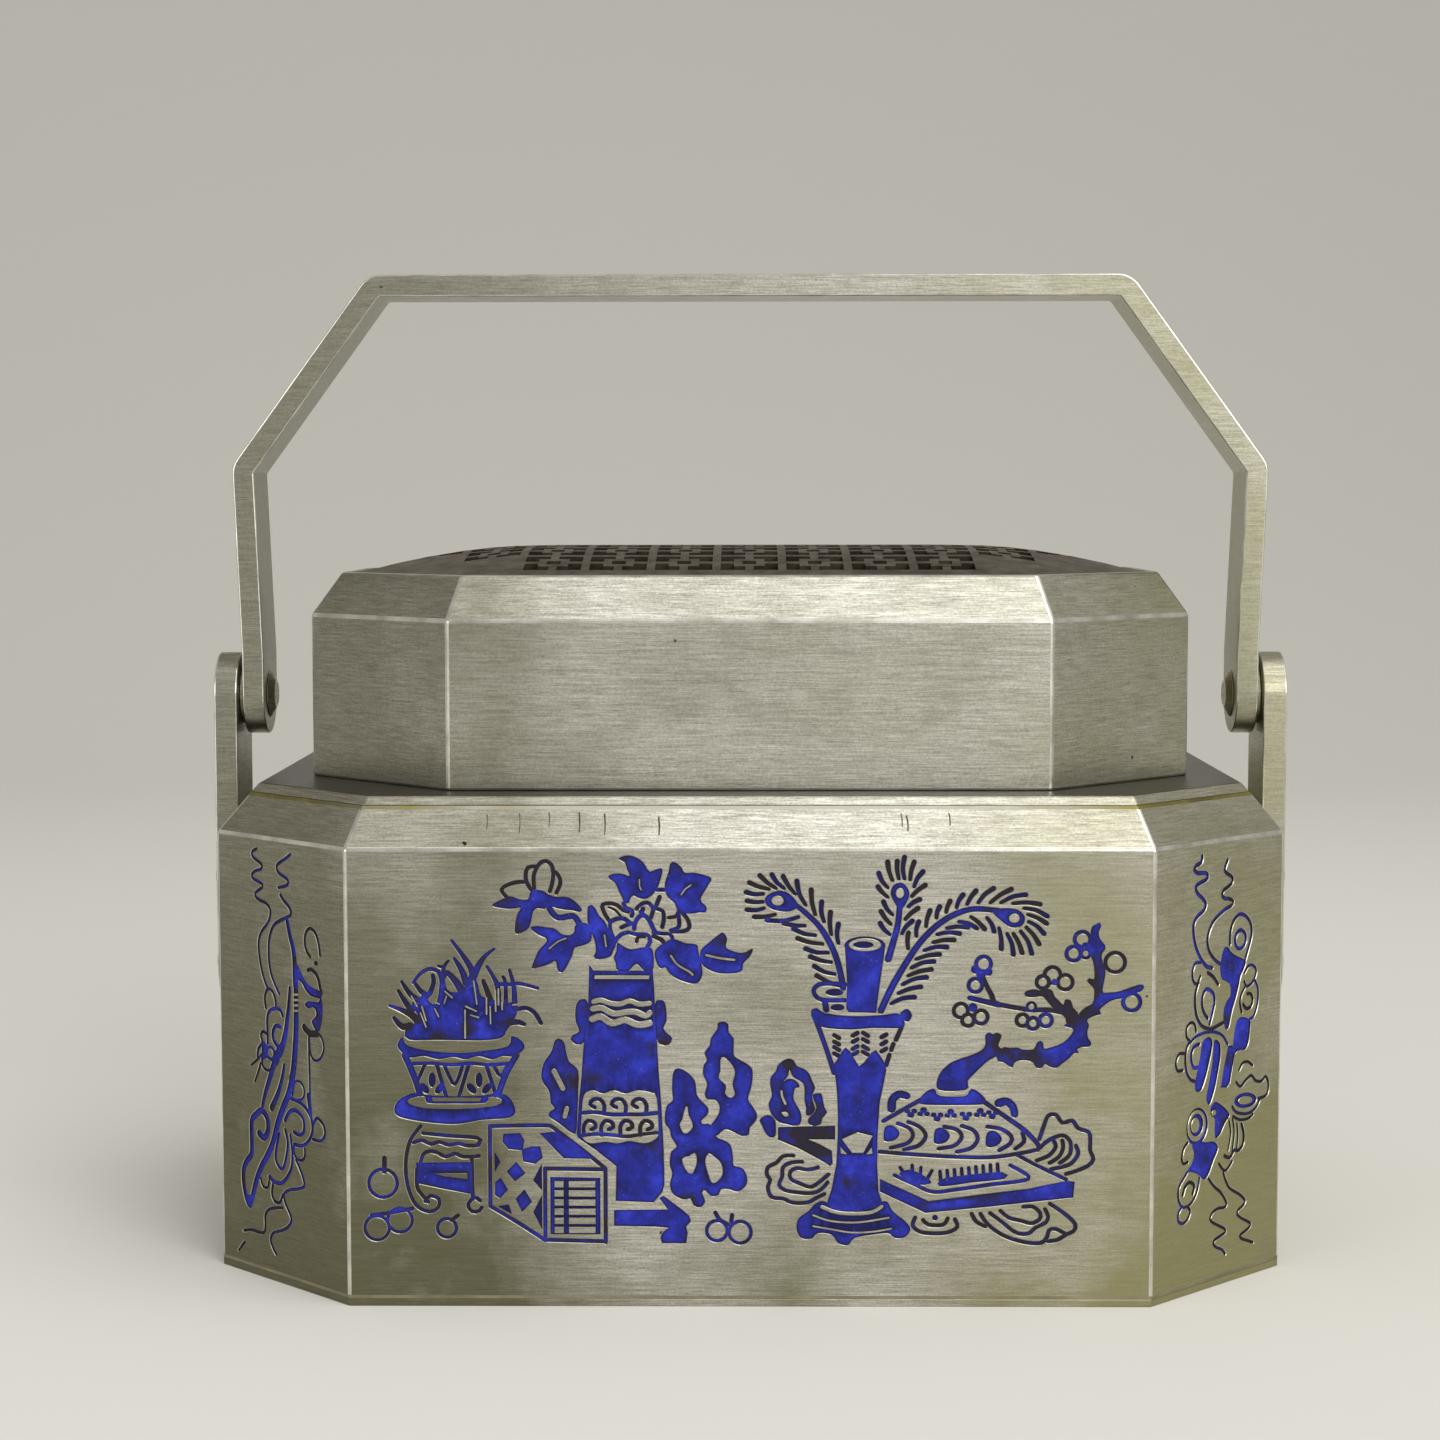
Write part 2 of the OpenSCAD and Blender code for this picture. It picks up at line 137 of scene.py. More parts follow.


# paktong brushed by hand: short parallel lines, an olive tarnish with painted shade that gathers at the
# ends, darker towards the foot, smudges, a few dark pits
def brushedPaktong(name, along, shade=1.0):
    look = paktongLook
    material, tree, shader, coord = newMaterial(name)
    thick, long = 1000 / look["lineThick"], 1000 / look["lineLong"]
    lines = addNode(tree, "ShaderNodeMapping", {
        "Vector": coord, "Scale": [long if axis in along else thick for axis in "xyz"]}).outputs[0]
    lined = mixValue(tree, 0.15, noise(tree, lines, 1, 4, 0.7), noise(tree, lines, 0.25, 2, 0.5))
    streak = mixValue(tree, 0.3, lined, noise(tree, coord, 1000 / look["grain"], 3, 0.6))
    brushed = toned(tree, streak, (0.36, look["dark"]), (0.5, look["mid"]), (0.64, look["light"]))
    place = addNode(tree, "ShaderNodeSeparateXYZ", {"Vector": coord})
    x, z = place.outputs["X"], place.outputs["Z"]
    # painted shade mixed with real tarnish: the olive darkening grows towards the left and right ends
    left = between(tree, x, *look["leftPaintedShadeAndTarnish"])
    ends = between(tree, x, *look["rightPaintedShadeAndTarnish"], left, look["rightMost"])
    # darker towards the foot
    near = maths(tree, "ADD", ends, between(tree, z, *look["footDarkening"]))
    cloud = noise(tree, coord, 1000 / look["patinaSize"], 5, 0.62)
    most = between(tree, z, *look["mostShadeAndTarnish"])
    amount = between(tree, maths(tree, "ADD", cloud, near), 0.48, 0.86, 0, most)
    # painted light: the patina is paler on the right, lit side and darker on the left, shaded side
    side = between(tree, x, *look["paintedLitSide"])
    olive = mixColor(tree, side, linear(look["patina"]), linear(look["patinaPaintedLit"]))
    shadedAndTarnished = mixColor(tree, amount, brushed, olive)
    touch = noise(tree, coord, 1000 / look["smudgeSize"], 6, 0.7)
    smudged = mixColor(tree, between(tree, touch, 0.56, 0.78, 0, 0.5), shadedAndTarnished, linear(look["smudge"]))
    cell = addNode(tree, "ShaderNodeTexVoronoi", {
        "Vector": coord, "Scale": 1000 / look["pitSpacing"], "Randomness": 1})
    pit = between(tree, cell.outputs["Distance"], 0.022, 0.034, 0.85, 0)
    spotted = mixColor(tree, pit, smudged, linear(look["pit"]))
    shaded = addNode(tree, "ShaderNodeHueSaturation", {"Color": spotted, "Value": shade})
    gloss = between(tree, streak, 0.3, 0.7, *look["roughness"])
    bump = addNode(tree, "ShaderNodeBump", {
        "Height": streak, "Strength": 0.2, "Distance": look["brushDepth"] * mm})
    setInputs(tree, shader, {
        "Base Color": shaded.outputs[0], "Roughness": gloss, "Normal": bump.outputs[0], "Metallic": 1})
    return material


# a plain metal with soft cloudy wear, rubbed to another colour half way along where middle is given
def wornMetal(name, light, dark, rough, cloudSize, middle=None):
    material, tree, shader, coord = newMaterial(name)
    cloud = noise(tree, coord, 1000 / cloudSize, 4, 0.6)
    color = toned(tree, cloud, (0.35, dark), (0.65, light))
    if middle:
        place = addNode(tree, "ShaderNodeSeparateXYZ", {"Vector": coord})
        aside = maths(tree, "ABSOLUTE", place.outputs["X"])
        reach = maths(tree, "MULTIPLY_ADD", cloud, 0.04, aside)
        color = mixColor(tree, between(tree, reach, 0.045, 0.072), linear(middle), color)
    setInputs(tree, shader, {"Base Color": color, "Metallic": 1, "Roughness": rough})
    return material


enamelLook = {
    "deep": "#16195e", "mid": "#1f258c", "bright": "#2b35b2", "grit": "#8a92de",
    # edge: painted shade, with a darker blue, along the rim of each shape
    "edge": "#101030", "lost": "#241e20",
    "cloudSize": 3.5, "gritSize": 0.32, "raggedSize": 2.2, "gritDepth": 0.05,  # mm
    "rough": 0.68, "ior": 1.52, "specular": 0.2,  # a dull, rubbed surface
}


# opaque enamel, fired in and rubbed down: deep blue with pale grains, with painted shade and a darker blue
# along the rim of each shape, gone dark where it is worn out
def blueEnamel():
    look = enamelLook
    material, tree, shader, coord = newMaterial("blueEnamel")
    worn, rim = (addNode(tree, "ShaderNodeAttribute", attribute_name=name).outputs["Fac"]
                 for name in ("worn", "rim"))
    cloud = noise(tree, coord, 1000 / look["cloudSize"], 6, 0.68)
    blue = toned(tree, cloud, (0.34, look["deep"]), (0.5, look["mid"]), (0.66, look["bright"]))
    grain = noise(tree, coord, 1000 / look["gritSize"], 2, 0.5)
    grainy = mixColor(tree, between(tree, grain, 0.66, 0.78, 0, 0.5), blue, linear(look["grit"]))
    # painted shade: darker towards the rim of each shape, where the cut's wall shadows it
    withPaintedRimShade = mixColor(tree, maths(tree, "MULTIPLY", rim, 0.85), grainy, linear(look["edge"]))
    ragged = noise(tree, coord, 1000 / look["raggedSize"], 5, 0.65)
    loss = between(tree, maths(tree, "ADD", worn, ragged), 0.62, 0.94, 0, 0.95)
    color = mixColor(tree, loss, withPaintedRimShade, linear(look["lost"]))
    bump = addNode(tree, "ShaderNodeBump", {
        "Height": grain, "Strength": 0.35, "Distance": look["gritDepth"] * mm})
    setInputs(tree, shader, {
        "Base Color": color, "Normal": bump.outputs[0], "Roughness": look["rough"], "IOR": look["ior"],
        "Specular IOR Level": look["specular"]})
    return material


wallMetal = brushedPaktong("paktongBrushedLevel", "xy")
topMetal = brushedPaktong("paktongBrushedAlong", "x")
# dirt and painted shadow: the deck under the lid is darkened to a quarter
deckDirtAndPaintedShadow = brushedPaktong("paktongDeckDirtAndPaintedShadow", "x", 0.25)
plateMetal = wornMetal("paktongSootedPlate", "#7b7265", "#544c42", 0.5, 3)
# soot and painted shade, for the faces inside the piercings and underneath
sootAndPaintedShade = wornMetal("paktongSootAndPaintedShade", "#4f463c", "#332d27", 0.7, 3)
# rubbed wear and painted highlight: the rounded edges are painted pale
edgeWearAndPaintedHighlight = wornMetal("paktongRubbedEdgeAndPaintedHighlight", "#e6e3d9", "#b8b5a8", 0.27, 5)
# rubbed wear and painted highlight on the lips round the cuts
lipWearAndPaintedHighlight = wornMetal("paktongCutLipAndPaintedHighlight", "#c6c2b0", "#9a9682", 0.34, 3)
# tarnish and painted shade for the walls and floors of the cuts
grooveTarnishAndPaintedShade = wornMetal("paktongGrooveTarnishAndPaintedShade", "#474338", "#24211c", 0.6, 2)
seamBrass = wornMetal("brazingBrass", "#948a4c", "#6f693f", 0.5, 5, "#b9b6a8")
rubbedBrass = wornMetal("brazingBrassRubbed", "#a09a80", "#86816b", 0.42, 5)
panCopper = wornMetal("copperSheet", "#a8694a", "#5a3527", 0.42, 9)
enamel = blueEnamel()
print("materials made")

# Drawing. Outlines are points in picture millimetres, from the bottom middle of a wall,
# and the lists below hold them as x, y, x, y.
drawing = {"step": 0.5, "ovalSides": 24, "roundEnd": 4}


def pairs(numbers):
    return [Vector(p) for p in zip(numbers[::2], numbers[1::2])]


# a smooth line through the points
def along(points, closed):
    path, count = [], len(points)
    spans = count if closed else count - 1
    for i in range(spans):
        p = [points[(i + k) % count] if closed else points[min(max(i + k, 0), count - 1)]
             for k in (-1, 0, 1, 2)]
        steps = max(1, math.ceil((p[2] - p[1]).length / drawing["step"]))
        for s in range(steps):
            t = s / steps
            path.append(0.5 * (2 * p[1] + (p[2] - p[0]) * t + (2 * p[0] - 5 * p[1] + 4 * p[2] - p[3]) * t * t
                               + (3 * p[1] - p[0] - 3 * p[2] + p[3]) * t ** 3))
    return path if closed else path + [points[-1]]


def soft(*numbers):
    return along(pairs(numbers), True)


def flat(*numbers):
    return pairs(numbers)


def oval(x, y, rx, ry=None, turn=0):
    ry, count = ry or rx, drawing["ovalSides"]
    c, s = math.cos(math.radians(turn)), math.sin(math.radians(turn))
    angles = (2 * math.pi * i / count for i in range(count))
    return [Vector((x + rx * math.cos(a) * c - ry * math.sin(a) * s,
                    y + rx * math.cos(a) * s + ry * math.sin(a) * c)) for a in angles]


# a brush line with round ends that can taper to a narrower tip
def stroke(width, *numbers, tip=None):
    path = along(pairs(numbers), False)
    tip = width if tip is None else tip
    half = [(width + (tip - width) * i / (len(path) - 1)) / 2 for i in range(len(path))]
    left, right = [], []
    for i, p in enumerate(path):
        way = (path[min(i + 1, len(path) - 1)] - path[max(i - 1, 0)]).normalized()
        side = Vector((-way.y, way.x)) * half[i]
        left.append(p + side)
        right.append(p - side)
    ends = []
    turns = [math.pi * k / drawing["roundEnd"] for k in range(1, drawing["roundEnd"])]
    for p, back, r in ((path[-1], path[-2], half[-1]), (path[0], path[1], half[0])):
        start = math.atan2((p - back).y, (p - back).x) + math.pi / 2
        ends.append([p + r * Vector((math.cos(start - a), math.sin(start - a))) for a in turns])
    return left + ends[0] + right[::-1] + ends[1]


class Picture:
    def __init__(self, spots=()):
        self.shapes = []
        self.spots = spots  # worn places: x, y, radius

    def blue(self, *outlines, worn=0.0):
        self.shapes += [("cut", outline, worn) for outline in outlines]

    def metal(self, *outlines):
        self.shapes += [("land", outline, 0) for outline in outlines]

    def line(self, width, *numbers, worn=0.0, tip=None):
        self.blue(stroke(width, *numbers, tip=tip), worn=worn)

    def ring(self, x, y, r, width=0.5, worn=0.0):
        self.blue(oval(x, y, r + width / 2), worn=worn)
        self.metal(oval(x, y, r - width / 2))


def grassPot(pic):
    pic.blue(soft(-43.1, 35.2, -42.7, 34, -38.9, 33.95, -33.5, 33.9, -31, 34.25, -30.5, 35, -29.8, 36,
            -29.1, 37.5, -29.6, 38.7, -30.6, 38.6, -32.1, 39.1, -33.5, 39.5, -33.9, 40.7, -34.4, 42.3,
            -35, 42.3, -35.6, 40.7, -36.6, 40, -37.8, 40.3, -38.2, 42.1, -38.7, 41.6, -38.9, 39.8,
            -39.3, 38.5, -40, 38.7, -40.5, 39.8, -41.4, 39.2, -42.3, 38.5, -41.4, 36.8, -42.3, 35.8))
    for tip, width, *points in (
            (0.35, 1.1, -41.5, 36.4, -42.3, 37.1, -43.7, 37.8, -45.05, 38.3),
            (0.5, 1, -42.5, 35.7, -43.4, 35.6, -44, 36.1, -44.5, 36.75),
            (0.4, 0.9, -42.3, 37.7, -43.1, 38.8, -43.95, 40.2),
            (0.4, 0.9, -41.6, 39, -42.5, 39.8, -43.5, 41.3),
            (0.4, 0.6, -38.45, 41.2, -38.7, 42.3, -39.25, 42.8, -40.2, 42.9, -41.2, 42.3, -42.05, 41.2),
            (0.4, 0.8, -40.3, 39.6, -41, 40, -41.9, 41.2), (0.5, 0.7, -40, 39.8, -39.5, 41.2, -39.6, 42.1),
            (0.4, 0.7, -38.2, 42, -38.2, 43.2, -37.7, 43.9), (0.35, 0.5, -38.2, 43.1, -38.9, 43.3),
            (0.4, 1, -35.4, 41.2, -36, 42.8, -36.9, 44.25),
            (0.35, 0.9, -34.6, 42, -34.8, 43, -35.95, 44.8, -37.2, 46.5),
            (0.35, 1, -34.5, 42, -33.9, 43.3, -33, 44.6, -31.9, 45.45),
            (0.6, 1.1, -36, 40.3, -36.9, 41.6, -37.8, 42.5),
            (0.4, 0.8, -31.4, 39, -31.5, 40.7, -32.1, 42.1, -32.8, 43.2),
            (0.5, 0.8, -32.4, 39, -32.9, 40.4, -33.3, 41.4),
            (0.4, 0.6, -30.5, 38.5, -30.5, 41.1, -30.8, 41.9),
            (0.4, 0.8, -29.4, 38, -29.4, 39.8, -29.6, 41.4, -30, 42.8),
            (0.4, 0.55, -31.7, 41, -30, 41, -28.9, 41.1, -27.5, 40.8, -26.5, 40.5),
            (0.55, 0.55, -29.3, 37.8, -28, 38, -26.9, 37.4, -26.1, 36.1),
            (0.5, 0.9, -30, 36.2, -28.9, 36.2, -28.2, 35.95)):
        pic.line(width, *points, tip=tip, worn=0.22)
    for width, *points in (
            (0.14, -35.6, 37.7, -35.6, 34.2), (0.12, -34.5, 41.4, -34.1, 38.5),
            (0.1, -32.45, 38.2, -32.4, 36), (0.12, -31.8, 40.2, -31.75, 37.6),
            (0.14, -30.95, 40.4, -30.95, 37.8), (0.16, -30, 40.4, -30, 38.9),
            (0.1, -41.2, 37.4, -40.5, 35.6), (0.1, -39.4, 37.9, -38.9, 36.9),
            (0.1, -37.9, 39.5, -38.2, 38.6), (0.13, -41, 38.2, -40.5, 36.4),
            (0.13, -35.5, 38.2, -34.2, 37.6), (0.13, -34.9, 37.1, -33.9, 36.8),
            (0.13, -38.1, 40.1, -37.2, 39.3), (0.13, -40, 39, -38.8, 38.5),
            (0.13, -32.9, 39.3, -32.9, 37.2), (0.13, -31.4, 40.4, -31.4, 38.4),
            (0.13, -29.6, 38.4, -27.8, 38.6), (0.13, -42.3, 39.5, -41.6, 38.2)):
        pic.metal(stroke(width, *points))
    # the pot: lobed rim, strap work down the sides, two small flowers
    pic.blue(soft(-43.5, 34.3, -42.9, 33.3, -40.4, 32.6, -36.5, 32.3, -33, 32.6, -30.2, 33.2, -29.8, 34.4,
            -28.6, 33.9, -28.2, 32.9, -29.5, 31.9, -31, 31.9, -32.3, 31.5, -34, 31.9, -35.6, 31.5,
            -37.2, 31.8, -39, 31.5, -40.8, 31.9, -42.6, 31.7, -43.6, 32.4, -44.1, 33.3), worn=0.05)
    pic.metal(stroke(0.3, -42.9, 33.6, -40.4, 33, -36.5, 32.75, -33, 33, -30.3, 33.7))
    for width, *points in (
            (0.8, -43.2, 32, -42, 29.2, -41.2, 26.6), (0.8, -29.2, 32, -30.6, 29.5, -31.7, 26.4),
            (0.45, -42.8, 30.9, -40, 31.0, -37.4, 30.8, -35, 31.0, -32.5, 30.8, -30, 31.0),
            (0.45, -40.7, 30.8, -41.7, 28.6), (0.5, -39.2, 30.8, -38, 26.6),
            (0.5, -35.2, 30.8, -36.5, 26.6),
            (0.45, -38.2, 30.6, -37.5, 29, -37, 28.3, -36.5, 29.1, -36, 30.6),
            (0.5, -33, 30.8, -31.7, 26.6), (0.45, -32, 30.6, -31.2, 29.4, -30.4, 30.7),
            (0.5, -41.4, 26.4, -36.4, 26.3, -31.6, 26.4)):
        pic.line(width, *points, worn=0.15)
    for x in (-39.8, -33.9):
        pic.blue(oval(x, 28.9, 0.45, 0.95), oval(x - 0.95, 27.8, 0.45, 0.8, 40),
            oval(x + 0.95, 27.8, 0.45, 0.8, -40))
    # the dish below it
    pic.blue(soft(-44.6, 25.1, -44.3, 26, -43.4, 26.7, -42, 27.2, -39.9, 26.9, -36.7, 26.8, -33.5, 26.9,
            -31.4, 27.2, -30.1, 26.6, -29.4, 25.2, -29.6, 24.4, -30.7, 24, -33.5, 23.8, -36.4, 23.3,
            -38.5, 23.3, -41.3, 23.6, -43.4, 24, -44.3, 24.4))
    pic.metal(soft(-42.9, 26.2, -42, 26.6, -40.7, 26.7, -40.5, 25.9, -37.1, 25.8, -33.1, 25.9, -32.7, 26.6,
            -31.8, 26.6, -31.1, 26.3, -31.8, 25.7, -35.3, 25.3, -39.9, 25.3, -42.2, 25.7),
        flat(-39.8, 26.6, -33.7, 26.6, -33.9, 26.2, -39.7, 26.2))


def curledStand(pic):
    for points in (
            (-41.3, 23, -42.6, 21.2, -43.2, 18.5, -43, 15.5, -42, 13, -40.4, 12.1, -39.2, 12.6, -39.1, 13.7,
                -40.2, 14.1, -40.8, 13.4),
            (-41, 22.1, -38, 21.8, -34.2, 21.5, -33.9, 20.9, -34.5, 20.5),
            (-42.2, 20.9, -41.2, 21.2, -40, 20.7, -39, 21, -37.8, 20.6, -36.6, 20.8, -35.4, 20.5,
                -34, 20.6),
            (-41.4, 18.2, -41, 19.4, -40.2, 19.8, -39.2, 19.6, -38.2, 19.1, -37, 19.5, -36, 19.1,
                -34, 19.2),
            (-34.9, 19.2, -34.8, 14), (-41.8, 17.5, -41.8, 15.2, -41, 14, -40.4, 13.3),
            (-33.9, 13.5, -34.6, 13.9, -35.4, 13, -34.9, 12.1, -34, 12.2, -33.7, 12.6)):
        pic.line(0.48, *points, worn=0.35)
    pic.blue(flat(-41.9, 18.3, -34.9, 18.4, -34.8, 14.3, -38, 14.9, -41.8, 15.7), worn=0.12)
    pic.metal(flat(-39.6, 17, -35.5, 16.95, -35.5, 16.3, -38.4, 16.7))
    pic.ring(-46.1, 15.7, 1.75, 0.5)
    pic.line(0.6, -45.9, 17.2, -45.9, 18.9)
    for x, y, r in ((-46.9, 10, 1.5), (-44, 11, 1.5), (-38.1, 10, 1.15)):
        pic.ring(x, y, r, 0.48, worn=0.2)
    pic.line(0.5, -47.6, 11.6, -45.4, 11.9, -42.4, 12.5, worn=0.3)
    pic.line(0.5, -37.5, 11, -36.7, 11.6, worn=0.3)


def bookBox(pic):
    for points in (
            (-32.6, 23, -28, 23.1, -25, 23.1), (-25, 23.1, -21, 20, -18.1, 17.6), (-32.6, 23, -32.6, 12.8),
            (-32.6, 12.8, -29, 10.6, -25.8, 8.5), (-25.8, 8.5, -18.1, 8.3), (-25.7, 17.6, -18.1, 17.5),
            (-25.7, 17.6, -25.7, 8.5), (-18.1, 17.6, -18.1, 8.2)):
        pic.line(0.5, *points, worn=0.3)
    pic.blue(flat(-26.3, 22.1, -24.2, 22.3, -21, 20.1, -19.6, 18.9, -23.3, 18.9, -24.3, 19.9))
    for corners in (
            (-30.9, 22, -28.8, 22.1, -28.3, 21.2, -28.5, 19.9, -30.3, 20.1, -31, 21),
            (-28.6, 20, -27.4, 20.4, -26.3, 20.4, -26, 19, -27, 18.2, -28.4, 18.5),
            (-32, 19.7, -31.3, 18.4, -32, 17.2), (-30.5, 17.2, -29.3, 18.4, -28.2, 17, -29.5, 16),
            (-26.1, 18.2, -27.2, 16.1, -26.1, 14.9),
            (-32, 15.8, -31.3, 16.4, -30.4, 14.9, -31.4, 13.8, -32, 14.2),
            (-29.4, 13.7, -28.3, 14.9, -27.4, 13.4, -28.6, 12.1), (-26.1, 14.2, -27.2, 12, -26.1, 9.9),
            (-31.6, 12.8, -30.3, 13, -29.9, 11.8)):
        pic.blue(flat(*corners), worn=0.08)
    pic.blue(flat(-25, 16.5, -18.8, 16.4, -18.8, 9.2, -25, 9.2))
    for row in range(6):
        z = 15.6 - 1.17 * row
        low, high = z - 0.36, z + 0.36
        for left, right in ((-24.5, -23.4), (-22.7, -19.4)):
            pic.metal(flat(left, low, right, low, right, high, left, high))


def tallVase(pic):
    # small garden rock behind it
    pic.blue(soft(-24.8, 32.5, -24.4, 33.8, -23.8, 34.1, -23.2, 33.6, -22.9, 32.2, -22.6, 31.2, -21.7, 30.4,
            -21.4, 29.5, -21.5, 27, -21.6, 24, -21.8, 22.2, -22.4, 22.2, -23.8, 23.3, -25.1, 24.2,
            -25.1, 24.8, -24.4, 25.3, -24.9, 25.9, -25.1, 27.4, -25.9, 28.6, -26.1, 29.6, -25.8, 31),
        worn=0.12)
    pic.metal(stroke(0.5, -24.5, 30, -23.4, 27.8), stroke(0.4, -22.9, 25.3, -23.2, 24.2))
    pic.blue(flat(-20, 43.4, -20.1, 40, -20.3, 36.5, -20.8, 33, -21, 30, -21.4, 26, -21.7, 22, -21.5, 21.5,
            -19.2, 19.9, -16.7, 17.9, -16.8, 13.5, -12.1, 13.3, -11, 14.6, -10.7, 15.6, -10.8, 20.6,
            -11.1, 26, -11.4, 30, -11.6, 34, -11.9, 40, -12.1, 43.4, -12.5, 42.7, -19.5, 42.7))
    pic.metal(flat(-19.4, 41.7, -12.6, 41.7, -12.5, 42.1, -19.3, 42.1),
        stroke(0.5, -19.5, 38.8, -18.6, 39, -17.4, 38.6, -16.2, 38.5, -15, 38.9, -13.8, 38.5, -12.5, 38.6),
        stroke(0.6, -19.6, 37.9, -18.5, 38, -17, 37.3, -15.4, 37.5, -14.2, 37.5, -13, 37, -12.5, 37.4),
        stroke(0.7, -19.7, 36.6, -18.6, 36.9, -17.2, 36.1, -15.6, 36.5, -14, 35.9, -12.5, 36.1))
    pic.blue(soft(-20.2, 38.6, -21, 39.1, -21.6, 38.6, -21.8, 37.4, -21.7, 36.2, -21.3, 35, -22.1, 34.6,
            -22.4, 34, -21.7, 33.4, -20.8, 33.6, -20.4, 35),
        soft(-11.9, 38.4, -11.2, 39, -10.6, 38.7, -10.4, 37.5, -10.4, 36.4, -10.8, 35.4, -10.2, 34.7,
            -9.7, 34.2, -10.1, 33.4, -11.1, 33.4, -11.7, 34.6), worn=0.2)
    # scroll band round the belly
    pic.metal(soft(-20.7, 26.9, -19.6, 27.5, -18.4, 27.1, -17, 27.5, -15.6, 27.1, -14, 27.5, -12.3, 27.2,
            -11.7, 26.6, -11.5, 22.4, -11.9, 21.4, -13.2, 20.9, -15, 21.2, -16.6, 20.9, -18, 21.1,
            -20, 20.9, -21, 21.8, -21, 24))
    for x in (-19.2, -16.5, -13.9):
        pic.line(0.5, x + 0.9, 24.7, x + 1, 25.6, x + 0.5, 26.4, x - 0.4, 26.4, x - 0.8, 25.8,
            x - 0.2, 25.4, worn=0.2)
    for x in (-20, -17.8, -15.4, -12.9):
        pic.line(0.5, x - 0.8, 21.9, x - 0.8, 23, x - 0.3, 23.7, x + 0.5, 23.5, x + 0.7, 22.9,
            x + 0.1, 22.6, worn=0.2)
    pic.line(0.5, -20.9, 24.7, -19.4, 24.8, -17.4, 24.5, -15.4, 24.5, -13.6, 24.5, -11.6, 24.7, worn=0.2)
    pic.line(0.45, -21.2, 21.8, -19.4, 22, -17.4, 21.9, -15.4, 21.7, -13.4, 22, -11.6, 22.2, worn=0.2)
    # foot with its curled end
    pic.blue(flat(-17, 12.3, -17, 10.3, -11.8, 10.2, -10.1, 10.1, -10.9, 9.5, -11.2, 8.8, -11, 8.1, -8, 8.1,
            -7.8, 9.4, -8, 10.2, -7.4, 10.9, -7.6, 11.6, -8.8, 12.6, -10.8, 14.1, -11.3, 13.9, -10.2, 12.4))


